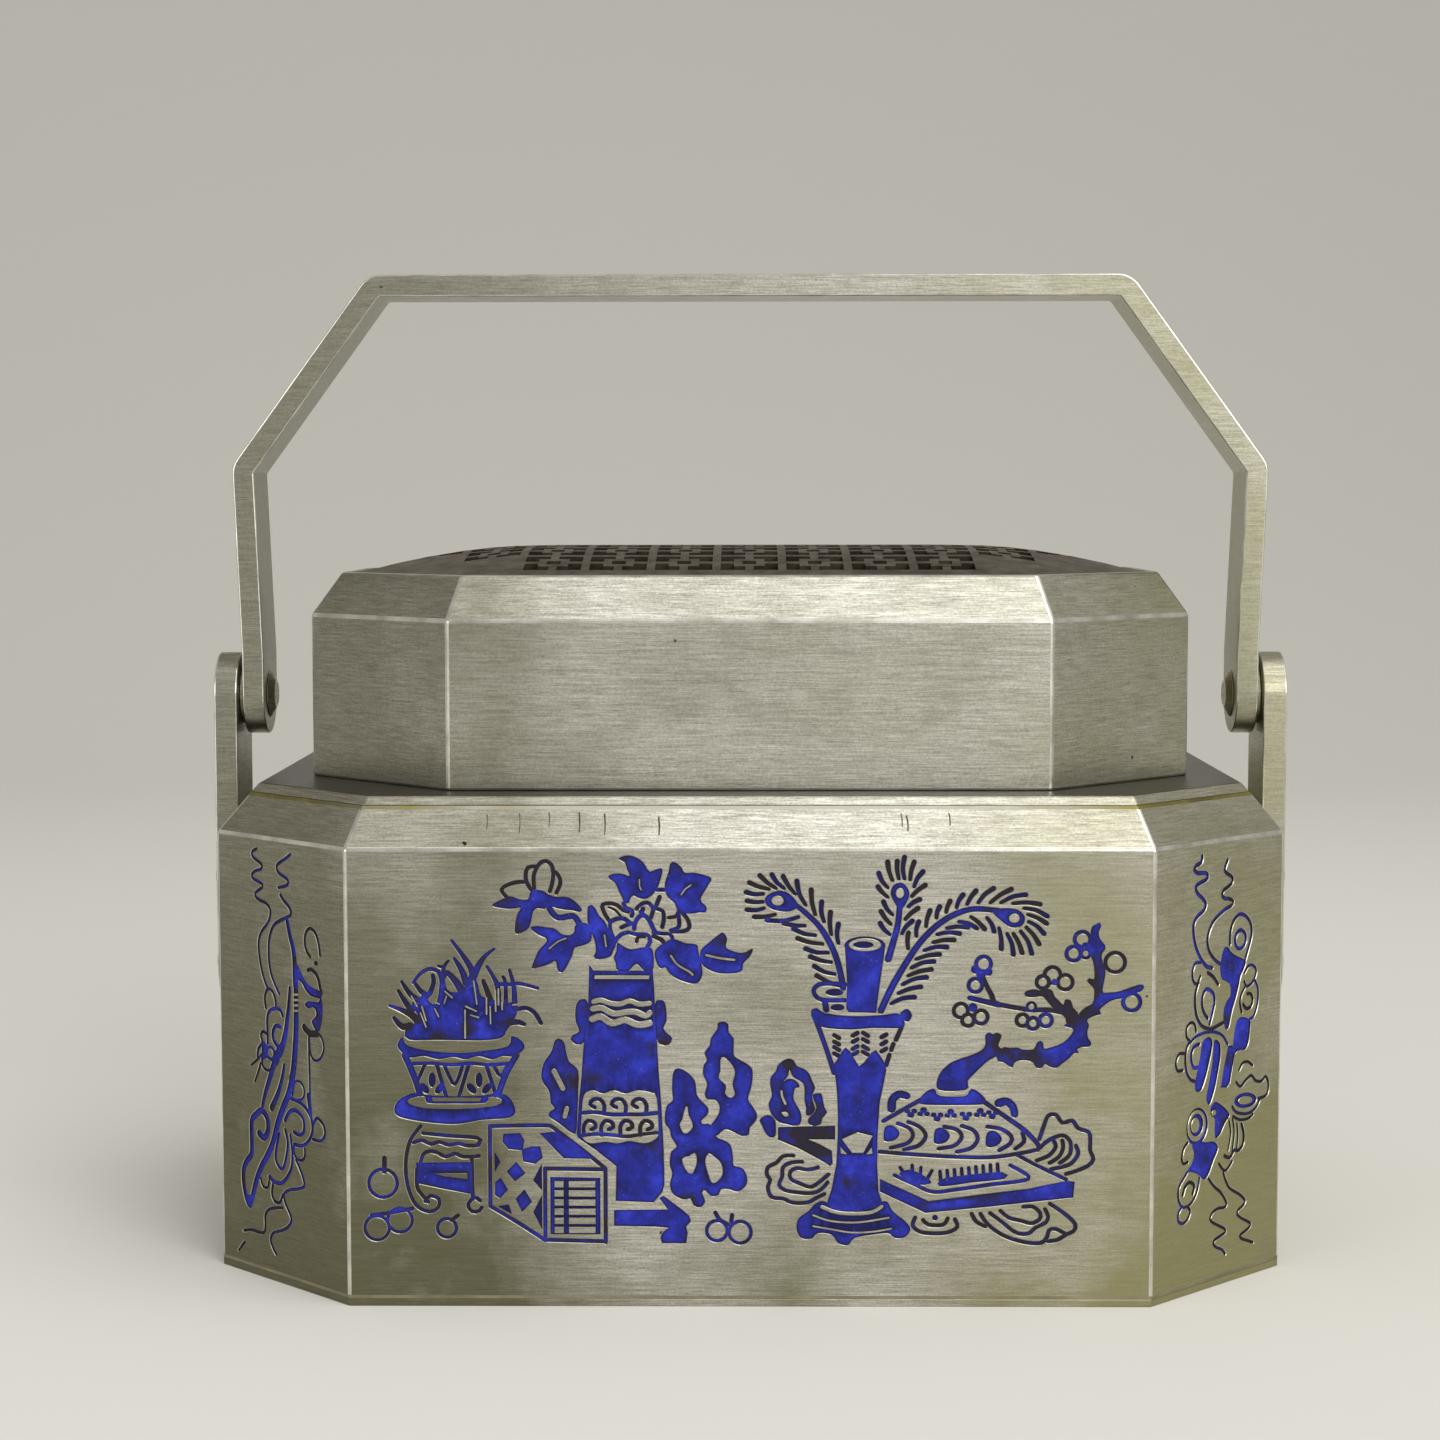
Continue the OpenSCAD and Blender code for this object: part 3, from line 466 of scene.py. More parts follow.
def peonySpray(pic):
    # half open bud on its twig
    for points in (
            (-26.4, 55.85, -27.6, 55.7, -27.9, 54.8, -27.75, 53.8, -27.2, 52.9),
            (-26.85, 53.1, -26.9, 54.6, -26.6, 55.5, -26.05, 56.3, -25.35, 56.5, -24.7, 56.05,
                -24.45, 55.05, -24.6, 53.7, -24.9, 52.7),
            (-24.5, 55.2, -24.1, 55.05, -23.66, 54.4, -23.6, 53.6, -24.1, 52.5),
            (-30.3, 52, -30.95, 52.9, -30.2, 53.5, -29, 53.85, -27.9, 53.9)):
        pic.line(0.5, *points, worn=0.5)
    pic.blue(soft(-27.2, 52.8, -25.9, 52.8, -25, 52.3, -24.1, 52, -23, 52.05, -22.2, 51.75, -21.5, 51.2,
            -20.9, 50.4, -21.2, 50.1, -22, 50.3, -23.1, 50.4, -24.1, 50.6, -25, 50.9, -25.6, 50.5,
            -26.5, 50.6, -27, 50.15, -27.2, 49.25, -27.5, 48.2, -28.2, 47.6, -29.2, 47.4, -29.25, 48.6,
            -28.9, 50, -28.5, 50.7, -29.9, 50.5, -32.1, 50.9, -30.7, 51.8, -29.8, 52.1, -28.7, 51.7,
            -27.6, 51.7))
    pic.line(0.75, -25.1, 51, -24.7, 50.1, -23.9, 49.4, -23, 49.5, -22, 49.6, -21.5, 49.1, -21.1, 48.5,
        -20.4, 48.3)
    pic.blue(soft(-27.3, 48.2, -26.5, 48.35, -25.4, 48.2, -24.3, 48, -23.4, 47.3, -22.3, 47.2,
            -21.85, 47.65, -21.8, 48.3, -21.3, 48.7, -20.6, 48.5, -19.8, 48.4, -19.8, 46.5, -21, 45.85,
            -21.85, 45.6, -22.1, 44.8, -22.5, 43.9, -23.1, 42.8, -23.55, 42.5, -23.95, 42.8, -24.2, 43.9,
            -24.8, 43.7, -25.6, 43.35, -26.5, 43.1, -27.2, 43, -26.95, 43.9, -26.3, 45.3, -25.25, 46.6,
            -26.3, 47.2, -27.1, 47.8),
        soft(-20.1, 48.5, -20.2, 50, -20.1, 50.8, -19.7, 51, -19.2, 50.5, -18.8, 49.7, -18.1, 49, -17.6, 48,
            -17.1, 47.1, -16.6, 46.2, -17, 45.3, -17.3, 44.6, -18.3, 44.2, -19.2, 44.2, -19.45, 44.6,
            -19.2, 45.05, -19.3, 46.4))
    pic.metal(stroke(0.1, -25, 45.5, -23.9, 46.4, -22.9, 46.8),
        stroke(0.12, -18.1, 47.2, -18, 46.5, -17.9, 45.8))
    # leaves round the flower
    pic.blue(soft(-17.6, 54.6, -17, 54.9, -15.8, 54.9, -14.9, 54.6, -15.25, 55.5, -15.5, 56.3, -16.3, 56.75,
            -15.8, 57.1, -14.9, 57.2, -14, 56.9, -13.2, 56.3, -12.75, 55.5, -12.4, 55.15, -11.5, 55.5,
            -10.9, 55.55, -10.9, 54.9, -11.2, 53.9, -11.5, 53.1, -12.2, 52.2, -13.1, 51.75, -13.9, 51.9,
            -14.5, 52.2, -14.9, 51.75, -15.1, 51.2, -15.6, 51.2, -15.8, 51.8, -16.3, 52.8, -16.7, 53.7,
            -17.4, 54.25),
        soft(-10.1, 55.05, -9.9, 56.1, -9.6, 56.4, -9, 56.2, -8.4, 55.6, -8.1, 55.05, -6.6, 55, -4.8, 54.4,
            -5.1, 53.6, -6.1, 51.7, -5.4, 50.8, -5.5, 50.1, -6.4, 50.05, -7.4, 49.9, -8.8, 50.1, -9.3, 51.2,
            -10.1, 51.9, -10.5, 52.8, -10.5, 53.9),
        soft(-16.5, 46.2, -15.6, 45.7, -14.8, 45.4, -13.5, 45.6, -12.6, 45.7, -12.1, 45.3, -11.95, 43.9,
            -12.1, 42.9, -13.1, 42.65, -13.4, 42.9, -14.1, 43.6, -14.9, 42.9, -15.2, 42.6, -16.3, 42.65,
            -16.6, 42.9, -16.7, 43.7, -16.95, 44.4, -16.6, 45.2),
        soft(-11.8, 45.2, -10.4, 46.4, -9.4, 46.7, -8, 46.2, -6.6, 46, -6.4, 45.2, -6, 43.6, -5.9, 42.2,
            -6.7, 41.1, -8.6, 41.5, -9.9, 42.3, -10.5, 43.2, -11, 43, -11.5, 43.5),
        soft(-6.1, 45.2, -5, 46.3, -3.9, 47.2, -3.3, 47.5, -2.8, 46.8, -2.9, 45.6, -1.4, 45, -0.4, 45.1,
            0.4, 45.5, 0.1, 44.6, -0.8, 43.6, -0.9, 42.8, -2, 42.4, -4.2, 42.5, -5.9, 43.5))
    pic.line(0.5, -11.6, 52.9, -10.4, 52.9)
    pic.metal(stroke(0.16, -9.8, 44.6, -9, 43.5, -7.5, 42.6, -7.1, 42.2),
        stroke(0.2, -5.4, 44.7, -3.6, 44.3, -1.9, 44.1), stroke(0.1, -8.5, 52.3, -8, 53, -7.3, 53.5),
        stroke(0.1, -13.7, 54.2, -13.7, 53.4, -13.5, 52.9))
    # the flower head: curled petals
    for width, worn, *points in (
            (0.5, 0.5, -17.4, 48.9, -17.9, 49.6, -18.3, 50.5, -18.3, 51.05, -17.4, 51.2, -16.5, 50.95,
                -15.7, 50.3, -15.1, 50.15),
            (0.3, 0.5, -17.5, 50.7, -16.7, 50.3, -16, 49.5),
            (0.55, 0.1, -17.4, 48.9, -16.6, 49.25, -15.6, 49.25, -14.9, 48.7, -14.3, 48.55),
            (0.5, 0.25, -14.9, 48.6, -15.5, 48.4, -16, 48.15),
            (0.45, 0.1, -17.4, 48.9, -17.4, 48, -17.1, 47.1, -16.7, 46.4),
            (0.5, 0.1, -16.7, 46.6, -16, 47.3, -15.1, 47.55, -14.2, 47.3, -13.3, 47.3, -12.6, 47.1,
                -12.4, 46.4, -12.75, 45.7),
            (0.45, 0.45, -13.1, 47, -13.9, 46.95, -14.1, 46.4),
            (0.55, 0.08, -14.4, 48, -14.3, 48.7, -13.8, 49.5, -13.2, 49.7, -12.5, 49.1, -12.1, 48.2,
                -11.7, 47.5),
            (0.6, 0.1, -13.3, 49.7, -13.5, 50.15, -13.3, 50.5),
            (0.5, 0.3, -14.1, 50.5, -13.5, 51.1, -12.75, 51.3, -12.1, 50.8, -12, 50.4, -12.3, 49.4),
            (0.5, 0.25, -12.1, 50.8, -11.5, 50.5, -10.8, 50.2, -10.7, 49.1, -10.9, 48.2),
            (0.55, 0.3, -11.2, 52, -11.6, 51),
            (0.5, 0.1, -15.7, 51.2, -15.4, 50.6, -14.6, 50.3, -14.7, 49.6),
            (0.45, 0.5, -10.1, 49.4, -9.1, 49.6, -8.8, 50.2), (0.5, 0.1, -8.9, 50, -8.8, 48.3, -9.8, 47.8),
            (0.5, 0.35, -8.4, 50, -7.75, 49.25, -7.5, 48.2, -8.2, 47.7, -9.7, 47.65),
            (0.45, 0.1, -12, 47.55, -11, 47.4, -9.9, 47.3, -9.6, 46.6, -10, 46),
            (0.55, 0.45, -12, 47.1, -11, 46.6, -10.7, 46.3)):
        pic.line(width, *points, worn=worn)


def piercedRock(pic):
    pic.blue(soft(-9.2, 30.3, -8.4, 30.2, -7.4, 29.5, -6.8, 28.6, -6.6, 27, -6, 26.2, -5.2, 25.3,
            -5.3, 24.5, -6.1, 23.7, -6, 23.3, -4.8, 23.2, -4.2, 21.7, -3.2, 21.2, -2.4, 20.6, -2.1, 19.2,
            -2, 18, -1, 17.7, -0.4, 16.8, -0.4, 15.6, -1.4, 14.7, -2.6, 15, -3.6, 15, -3.9, 14.3,
            -4.8, 14.1, -5.5, 14.8, -6, 14.6, -5.6, 13.4, -6.2, 12.7, -7, 12.9, -7.4, 13.8, -8.4, 13.7,
            -9.6, 14.4, -10, 15.6, -9.7, 17, -10, 18.2, -9.8, 19.8, -9.1, 20.4, -9.8, 21.6, -10, 22.6,
            -10.6, 23.5, -10.4, 25.5, -9.6, 26.3, -9.7, 27.6, -9.6, 29.6),
        soft(-4, 35.4, -4, 36, -3.4, 36.3, -2.7, 36, -2.6, 34.9, -2, 34.2, -2, 32.8, -1.9, 31.9, -0.8, 31.2,
            0.2, 30.5, 0.4, 29.5, 0.2, 28, -0.2, 26.5, 0.2, 25.8, 0.9, 24.6, 0.8, 23.8, 0, 22.8, -0.1, 22,
            -1, 21.8, -2.2, 22.4, -3.2, 22.6, -4.2, 21.8, -5.2, 22.6, -4.5, 23.6, -3.8, 24.8, -3.8, 25.8,
            -4.4, 26.4, -5.2, 26.4, -5.6, 27.1, -5.3, 28.4, -5.8, 29.6, -5.7, 30.8, -5.3, 31.4, -5.6, 32.4,
            -5, 33.2, -4.8, 34.2), worn=0.02)
    pic.metal(soft(-3.5, 31.7, -3.6, 30, -3.8, 29.2, -2.9, 28.2, -3, 27.2, -2.4, 26.7, -1.9, 27.1,
            -2.2, 28.4, -1.9, 30, -2.6, 31.2),
        soft(-7.9, 25.6, -8.4, 23.8, -8.7, 23.2, -8.1, 22.1, -7.2, 22.9, -7.4, 23.8, -7.7, 24.4),
        soft(-8.4, 18.9, -7.6, 19.1, -6.9, 19.6, -6.7, 18.4, -7.3, 17, -8, 17.6),
        soft(-5.5, 18.6, -5.1, 19.5, -4.4, 19, -3.6, 18.2, -3.5, 16.8, -4.5, 15.8, -5, 16.6))
    pic.ring(-4.1, 9.7, 1.25, 0.5, worn=0.15)
    pic.ring(-1.2, 9.5, 1.35, 0.5, worn=0.15)
    pic.line(0.5, -2.7, 10.5, -3.75, 11.1, -4.3, 12, worn=0.2)
    pic.line(0.5, -2.3, 10.8, -2.2, 11.7, worn=0.2)


def clouds(pic, width, *paths, worn=0.42):
    for points in paths:
        pic.line(width, *points, worn=worn)


def rockTray(pic):
    pic.blue(soft(3, 24.2, 2.6, 24.9, 2.4, 25.9, 2.8, 26.8, 2.8, 27.3, 2.6, 28.4, 2.7, 29.3, 3.3, 30,
            3.5, 30.7, 4, 31.2, 4.8, 31.6, 5.5, 31.4, 5.9, 30.7, 6.8, 30.3, 7.4, 29.8, 7.8, 28.9, 8.2, 27.9,
            7.9, 27.2, 7.9, 26.3, 8.2, 25.4, 8.1, 24.9, 7.6, 24.4, 7.1, 24.5, 7.1, 25.4, 6.9, 26.3,
            6.9, 27.7, 6.7, 28.5, 5.5, 29.3, 5, 30.3, 4.8, 29.4, 4.2, 28.7, 4.7, 29, 5.4, 29, 6.1, 28.5,
            6.2, 28, 5.7, 27.9, 5.6, 27.6, 5.5, 26.6, 5.8, 25.9, 6.3, 25, 6.5, 24.2, 6.3, 23.3, 5.4, 23.1,
            4.7, 23.3, 3.8, 23.5), worn=0.18)
    pic.blue(soft(7.9, 27, 8.5, 27.2, 9, 27.1, 9.2, 26.3, 9.4, 25.4, 9.7, 24.8, 9.1, 24, 8.9, 23.3, 8, 23.1,
            7.4, 23.4, 7.4, 24, 8, 24.7, 8.4, 25.4, 8.1, 26.3),
        soft(1.3, 23.8, 1.8, 24.3, 2.6, 24.4, 3.2, 23.8, 3.3, 22.2, 3.1, 21.7, 2.6, 21.6, 2, 22.2,
            1.6, 23.1))
    pic.metal(stroke(0.2, 4, 27.5, 4.1, 26.8, 4.5, 25.9), soft(4, 24.8, 4.5, 24.8, 4.9, 24.4, 4.5, 24.3))
    pic.blue(flat(3.6, 22.9, 10.7, 23.1, 10.7, 21.4, 7.3, 21.4, 8.7, 20.8, 10.3, 19.9, 10.4, 18.3, 10.1, 18,
            9.3, 18.5, 6.4, 20.1, 3.6, 21.3), worn=0.36)
    clouds(pic, 0.48,
        (5.5, 19.3, 4.2, 19.2, 3.4, 18.4, 2.3, 17.8, 2.2, 16.8, 2.6, 16.2, 2.3, 15.2, 2.8, 14, 4.2, 13.8,
            5.4, 13.3, 7.2, 13.3, 8.4, 13.9, 9.4, 14.4),
        (6.6, 18.5, 5.2, 18.4, 4.2, 17.8, 4.1, 16.6, 3.7, 15.6, 4.4, 14.9, 6, 14.6, 7.8, 14.5, 9, 15,
            9.8, 15.9),
        (8.6, 17.8, 7.3, 17.5, 5.9, 17.7, 5.1, 17.2, 5.2, 16.3, 6.4, 15.7, 7.6, 15.3, 8.6, 15.8, 9.9, 16.9))


def beakerVase(pic):
    pic.blue(soft(7.7, 37.6, 8.4, 38, 9.4, 37.4, 12.5, 37, 16.2, 37.1, 18.6, 37.3, 19.4, 36.1, 18.8, 35.5,
            15.5, 35.5, 12.3, 35.3, 9.1, 35.6, 8.2, 36.3),
        soft(18.8, 37.3, 19.7, 37.9, 20.3, 37.1, 19.8, 36.3, 19.2, 36.6))
    pic.line(0.6, 8, 37.2, 9, 34.6, 9.9, 32, 10.6, 29.8, worn=0.2)
    for points in ((19, 35.6, 18.3, 34), (18, 33.5, 17.7, 32.7), (17.5, 32.1, 17.1, 30.8)):
        pic.line(0.55, *points, worn=0.35)
    for x, rows in (
            (10.9, (34.4, 33.6, 32.9, 32.1)), (13.2, (34.7, 33.9, 33, 32.3)),
            (14.5, (34.7, 33.9, 33, 32.3)), (16.8, (34.5, 33.6, 32.7))):
        lean = -0.18 if x in (13.2, 16.8) else 0.18
        for z in rows:
            pic.line(0.55, x - 0.3, z + lean, x + 0.3, z - lean, worn=0.3)
    pic.blue(flat(10.5, 30.9, 10.8, 31.2, 11.5, 32.4, 12, 33, 12.6, 32.5, 13.7, 30.6, 14.4, 31.2,
            15.2, 32.3, 15.8, 32.7, 16.4, 31.9, 16.9, 31.1, 17.1, 30.2, 16.8, 28.6, 16.3, 26, 16.05, 22,
            16, 18, 16.2, 14.7, 16.7, 13.2, 16, 12.6, 13.6, 12.2, 11, 12.4, 9.7, 13.1, 10.3, 15, 10.9, 18.2,
            11.05, 21, 11.1, 24, 11, 27, 10.8, 29))
    pic.metal(flat(11.6, 21.4, 13.5, 22.2, 15.4, 21.8, 14.25, 19.7, 12.9, 19.7),
        flat(11.4, 20.4, 11.5, 19.6, 12.2, 19.5), flat(15.3, 20.3, 14.7, 19.5, 15.4, 19.6))
    pic.blue(soft(9.3, 13.5, 8.2, 13.1, 7.4, 12.2, 6.2, 11.3, 5.9, 10, 6.5, 8.8, 7.8, 8.7, 8.6, 9.4,
            10.3, 9.2, 11.2, 8.1, 12.4, 7.9, 13.2, 8.8, 15.3, 9.2, 17.4, 9.4, 18.3, 8.8, 19.5, 8.9,
            20.2, 9.8, 19.7, 10.8, 18, 12.2, 17.3, 13.4, 16.6, 13.4, 15.4, 12.7, 13.2, 12.3, 10.8, 12.6),
        worn=0.03)
    pic.metal(stroke(0.32, 9.1, 12.75, 11, 12.05, 13.4, 11.9, 15.4, 12.1, 16.6, 12.8),
        stroke(0.16, 8, 11.7, 10.3, 10.95, 13.7, 10.8, 17.5, 11.4),
        stroke(0.14, 8, 10.3, 10.3, 9.9, 12.8, 9.5, 15.5, 9.6, 17.8, 10))
    # rolled scrolls and a cup standing in it
    pic.blue(flat(11.9, 45.8, 12.2, 41.2, 12.1, 38, 12.4, 37.5, 15.8, 37.4, 16.2, 40.6, 16.9, 45.8),
        oval(14.4, 45.9, 2.55, 1.15))
    pic.metal(oval(14.4, 46, 1.95, 0.75))
    pic.blue(oval(14.2, 46, 1.25, 0.42))
    pic.line(0.55, 12, 41, 10.4, 41.1, 8.7, 41, 8, 40.2, 8.5, 39.3, 9.6, 39, 11.9, 39)
    pic.blue(oval(10.6, 40, 1.1, 0.45), oval(11, 38.1, 0.85, 0.42))
    pic.line(0.75, 9.4, 39, 9.6, 37.8)


def feather(pic, shaft, eye, spot, barbs, width):
    pic.line(width, *shaft, tip=width * 0.8, worn=0.12)
    pic.blue(soft(*eye))
    pic.metal(oval(*spot))
    for i, barb in enumerate(barbs):
        a, b = pairs(barb)
        bow = Vector((a.y - b.y, b.x - a.x)) * (0.08 if i % 2 else 0.05)
        pic.line(0.46, *a, *((a + b) / 2 + bow), *b, tip=0.64, worn=(0.5, 0.12, 0.34, 0.2)[i % 4])


def feathers(pic):
    feather(pic, (11.7, 40.6, 11.1, 43.5, 10.2, 45.9, 8.8, 48.2, 7, 50, 5.6, 51.1),
        (6.1, 50.9, 5.2, 52.2, 4, 52.8, 2.7, 52.5, 1.9, 51.7, 2.3, 50.8, 3.4, 50.3, 4.9, 50.2),
        (3.5, 51.55, 0.7, 0.55),
        ((3.3, 53.1, 1.3, 54.7), (4.3, 53.1, 2.8, 54.8), (5.7, 52.4, 4.2, 54.6), (7, 51, 5.9, 54),
            (8.2, 49.8, 7.7, 52.9), (9.3, 48.9, 9, 51.4), (10.2, 47.3, 10.1, 50.1),
            (11.1, 46.2, 11.1, 48.6), (2.4, 53, 0, 53.8), (1.7, 52.4, -0.4, 52.6), (1.7, 51.4, -0.3, 51.5),
            (1.8, 50.6, -0.3, 50.4), (3.2, 49.8, 0.6, 49.5), (6.1, 49.5, 2.2, 49.1), (6.9, 48.4, 4.3, 48.7),
            (8.2, 47.2, 5.5, 48), (9.1, 46.1, 6, 46.8), (9.8, 45, 7, 45.5), (10.2, 43.8, 7.6, 44.5),
            (10.7, 42.3, 8.1, 43.3), (11.4, 40.8, 8.4, 42.1)), 0.8)
    feather(pic, (17.3, 44.2, 18, 46.6, 18.5, 48.6, 18.7, 50.7),
        (18.8, 50.4, 19.6, 51.4, 19.9, 52.5, 19.4, 53.5, 18.7, 53.8, 17.9, 53.4, 17.6, 52.4, 18.1, 51.3),
        (18.75, 52.5, 0.45, 0.58),
        ((17.8, 54.1, 17.2, 56.4), (17.2, 53.2, 16.1, 55), (17.2, 52, 16, 53.3), (17.8, 49.8, 16.7, 51.4),
            (17.6, 48.6, 16.4, 50.2), (17.5, 47.3, 16.3, 48.7), (18.6, 54.3, 18.4, 56.5),
            (19.3, 54.3, 19.3, 57), (20, 54.2, 20.5, 56.4), (20.5, 53.3, 21.6, 55.2),
            (20.2, 52.1, 21.9, 53.5), (19.8, 50.8, 21.2, 51.7), (19.4, 49.2, 21, 50.6),
            (19, 47.4, 20.3, 49)), 0.85)
    feather(pic,
        (16.4, 37.7, 17.8, 40.7, 19.4, 43.5, 21.2, 46.2, 23.2, 48.3, 25.5, 49.8, 27.9, 50.5, 31, 50.3),
        (30.2, 50.3, 31.6, 50.6, 33.4, 50.4, 34.3, 49.5, 33.9, 48.4, 32.6, 48.2, 31.4, 49),
        (33, 49.35, 0.6, 0.5),
        ((19.8, 45.5, 19.8, 47.5), (20.8, 47.1, 21.1, 48.9), (22, 48.3, 22.5, 50.3),
            (23.3, 49.4, 23.7, 50.8), (24.5, 50.1, 25, 51.5), (25.8, 50.7, 26.6, 52.3),
            (27.1, 51.1, 28.2, 52.8), (28.5, 51.3, 30.4, 53.1), (30, 51.3, 32.6, 53),
            (31.3, 51.3, 34.4, 52.3), (32.8, 51.2, 36.2, 51.1), (34.2, 50.6, 37.1, 49.6),
            (34.7, 49.8, 37, 48.7), (34.8, 48.9, 36.7, 47.4), (34.5, 48.2, 36.1, 46.1),
            (33.8, 47.7, 35.2, 44.9), (32.9, 47.4, 34, 45), (32.1, 47.4, 32.9, 44.8),
            (31.1, 48.1, 31.4, 45.5), (29.6, 49.4, 30.5, 47.7), (27.6, 49.5, 29.3, 48),
            (26.1, 48.9, 28.3, 48.1), (24.6, 48.1, 27.2, 48.2), (23.4, 47.3, 26.2, 47.4),
            (22.9, 46.3, 25.5, 46.6), (21.8, 45.3, 24.6, 45.7), (20.8, 44.2, 23.7, 44.8),
            (20.2, 43.1, 23, 43.9), (19.8, 42.1, 22.7, 42.9), (19.1, 41, 22.1, 41.9),
            (18.6, 39.9, 21.4, 40.7), (17.7, 38.6, 20.6, 39.4)), 0.85)


def prunusBasin(pic):
    pic.blue(soft(23.7, 27.7, 23.7, 29.5, 24.9, 30.9, 26.3, 31.6, 27.8, 32.1, 29, 32.7, 29.5, 33.4,
            29.5, 34.6, 30, 34.9, 30.4, 34.7, 30.9, 34.9, 31.5, 34.6, 31.3, 33.9, 31.1, 33.3, 31.5, 32.9,
            31.9, 33.1, 32.4, 33, 32.9, 33, 33.6, 33, 34, 32.8, 35.5, 32.8, 35.9, 33.6, 36.4, 33.9,
            36.7, 33.6, 36.8, 32.9, 37.5, 33, 38.9, 33.5, 39.9, 34.3, 40.5, 35.3, 39.9, 35.6, 39.3, 35.8,
            40.1, 36.4, 41.1, 36.9, 41.9, 36.7, 42.4, 35.9, 42.2, 35.2, 42.3, 34.3, 42.7, 33.7, 42.5, 33.2,
            41.5, 33.1, 40.9, 32.8, 41.1, 32.4, 40.5, 32.3, 40.1, 31.8, 39.2, 31.1, 38.4, 30.5, 37.6, 30.6,
            36.9, 31, 36.6, 30.5, 35.9, 30.5, 35.5, 31.1, 34.8, 31.4, 33.7, 31.4, 33.1, 31.1, 32.9, 30.5,
            32.3, 30.8, 31.7, 31.2, 31.1, 31.3, 30.9, 31.9, 30.2, 31.6, 29.4, 31, 27.9, 29.5, 27.3, 28.8,
            27.1, 27.7), worn=0.12)
    pic.blue(soft(41.1, 36.9, 40.9, 37.6, 40.4, 38.1, 40.1, 39, 39.4, 39.1, 39.2, 38.4, 38.6, 39,
            38.1, 39.5, 37.8, 40.2, 37.2, 40.5, 36.4, 40.3, 35.4, 40.4, 34.4, 40.1, 34.5, 39.5, 35.4, 39.4,
            36.5, 39.5, 37, 39.1, 37.5, 38.5, 38.1, 37.8, 38.9, 37.3, 39.5, 36.7, 39.6, 36.1, 40.5, 36),
        worn=0.5)
    pic.blue(soft(40.7, 36.4, 41.3, 37.5, 41.9, 38.1, 42.8, 38.6, 43, 39.5, 43, 40.4, 42.6, 40.9,
            42.1, 41.5, 42.4, 41.8, 43, 41.7, 43, 43, 42.8, 44, 42.5, 44.7, 42.4, 45.8, 42.6, 46.6,
            42.5, 47.4, 42.7, 48.3, 43.2, 48.6, 43.6, 48.8, 43.8, 48.3, 43.5, 47.6, 43.7, 46.7, 44.3, 46,
            44.3, 45.4, 43.9, 44.8, 44, 44, 44.4, 43, 44.3, 41.8, 44.1, 40.8, 44.1, 40, 44.9, 40, 46, 40.1,
            47.4, 40.6, 48.7, 41, 49.2, 40.8, 48.9, 40.2, 47.8, 39.8, 46.5, 39.3, 45.2, 39, 44.3, 38.4,
            43.7, 37.8, 43.9, 37.3, 43.2, 37.1, 42.3, 36.7, 41.9, 36.1), worn=0.2)
    pic.line(0.6, 38.9, 37.5, 37.4, 37.8, 35.4, 37.8, 33.7, 38, 31.5, 38.4, 30.4, 38.7, tip=0.6, worn=0.4)
    pic.line(0.8, 31, 38.5, 29.2, 38.9, 27.5, 39.3, tip=0.6, worn=0.2)
    pic.line(0.65, 30.5, 38.7, 30.2, 39.7, 29.6, 40.8, 29.1, 42, tip=0.6, worn=0.4)
    for x, y, r, worn in (
            (29.2, 43.6, 0.79, 0.1), (28.2, 40.9, 0.71, 0.1), (26.4, 37.7, 0.75, 0.5),
            (27.3, 36.5, 0.6, 0.5), (28.9, 36.9, 0.71, 0.45), (34.1, 36.5, 0.6, 0.5),
            (35.4, 36.1, 0.57, 0.3), (37, 36.5, 0.64, 0.1), (37.8, 42.2, 0.86, 0.55),
            (36.6, 41.3, 0.64, 0.55), (39.4, 41.3, 0.79, 0.5), (41.5, 46.7, 0.83, 0.1),
            (40.4, 44.9, 0.75, 0.1), (45.6, 43.8, 1.09, 0.5), (47.7, 38.8, 0.94, 0.1)):
        pic.ring(x, y, r + 0.1, 0.56, worn=worn)
    pic.blue(oval(28.2, 42.9, 0.55), oval(29.8, 42.6, 0.5), oval(28.9, 42.3, 0.6), oval(41.9, 44.9, 0.75),
        oval(41.9, 45.8, 0.5), oval(35.2, 38.2, 0.7), oval(27.9, 38.1, 0.55), oval(38.1, 41.3, 0.4),
        oval(43, 45.9, 0.9))
    pic.metal(oval(35.2, 38.2, 0.3), oval(41.9, 44.9, 0.28))
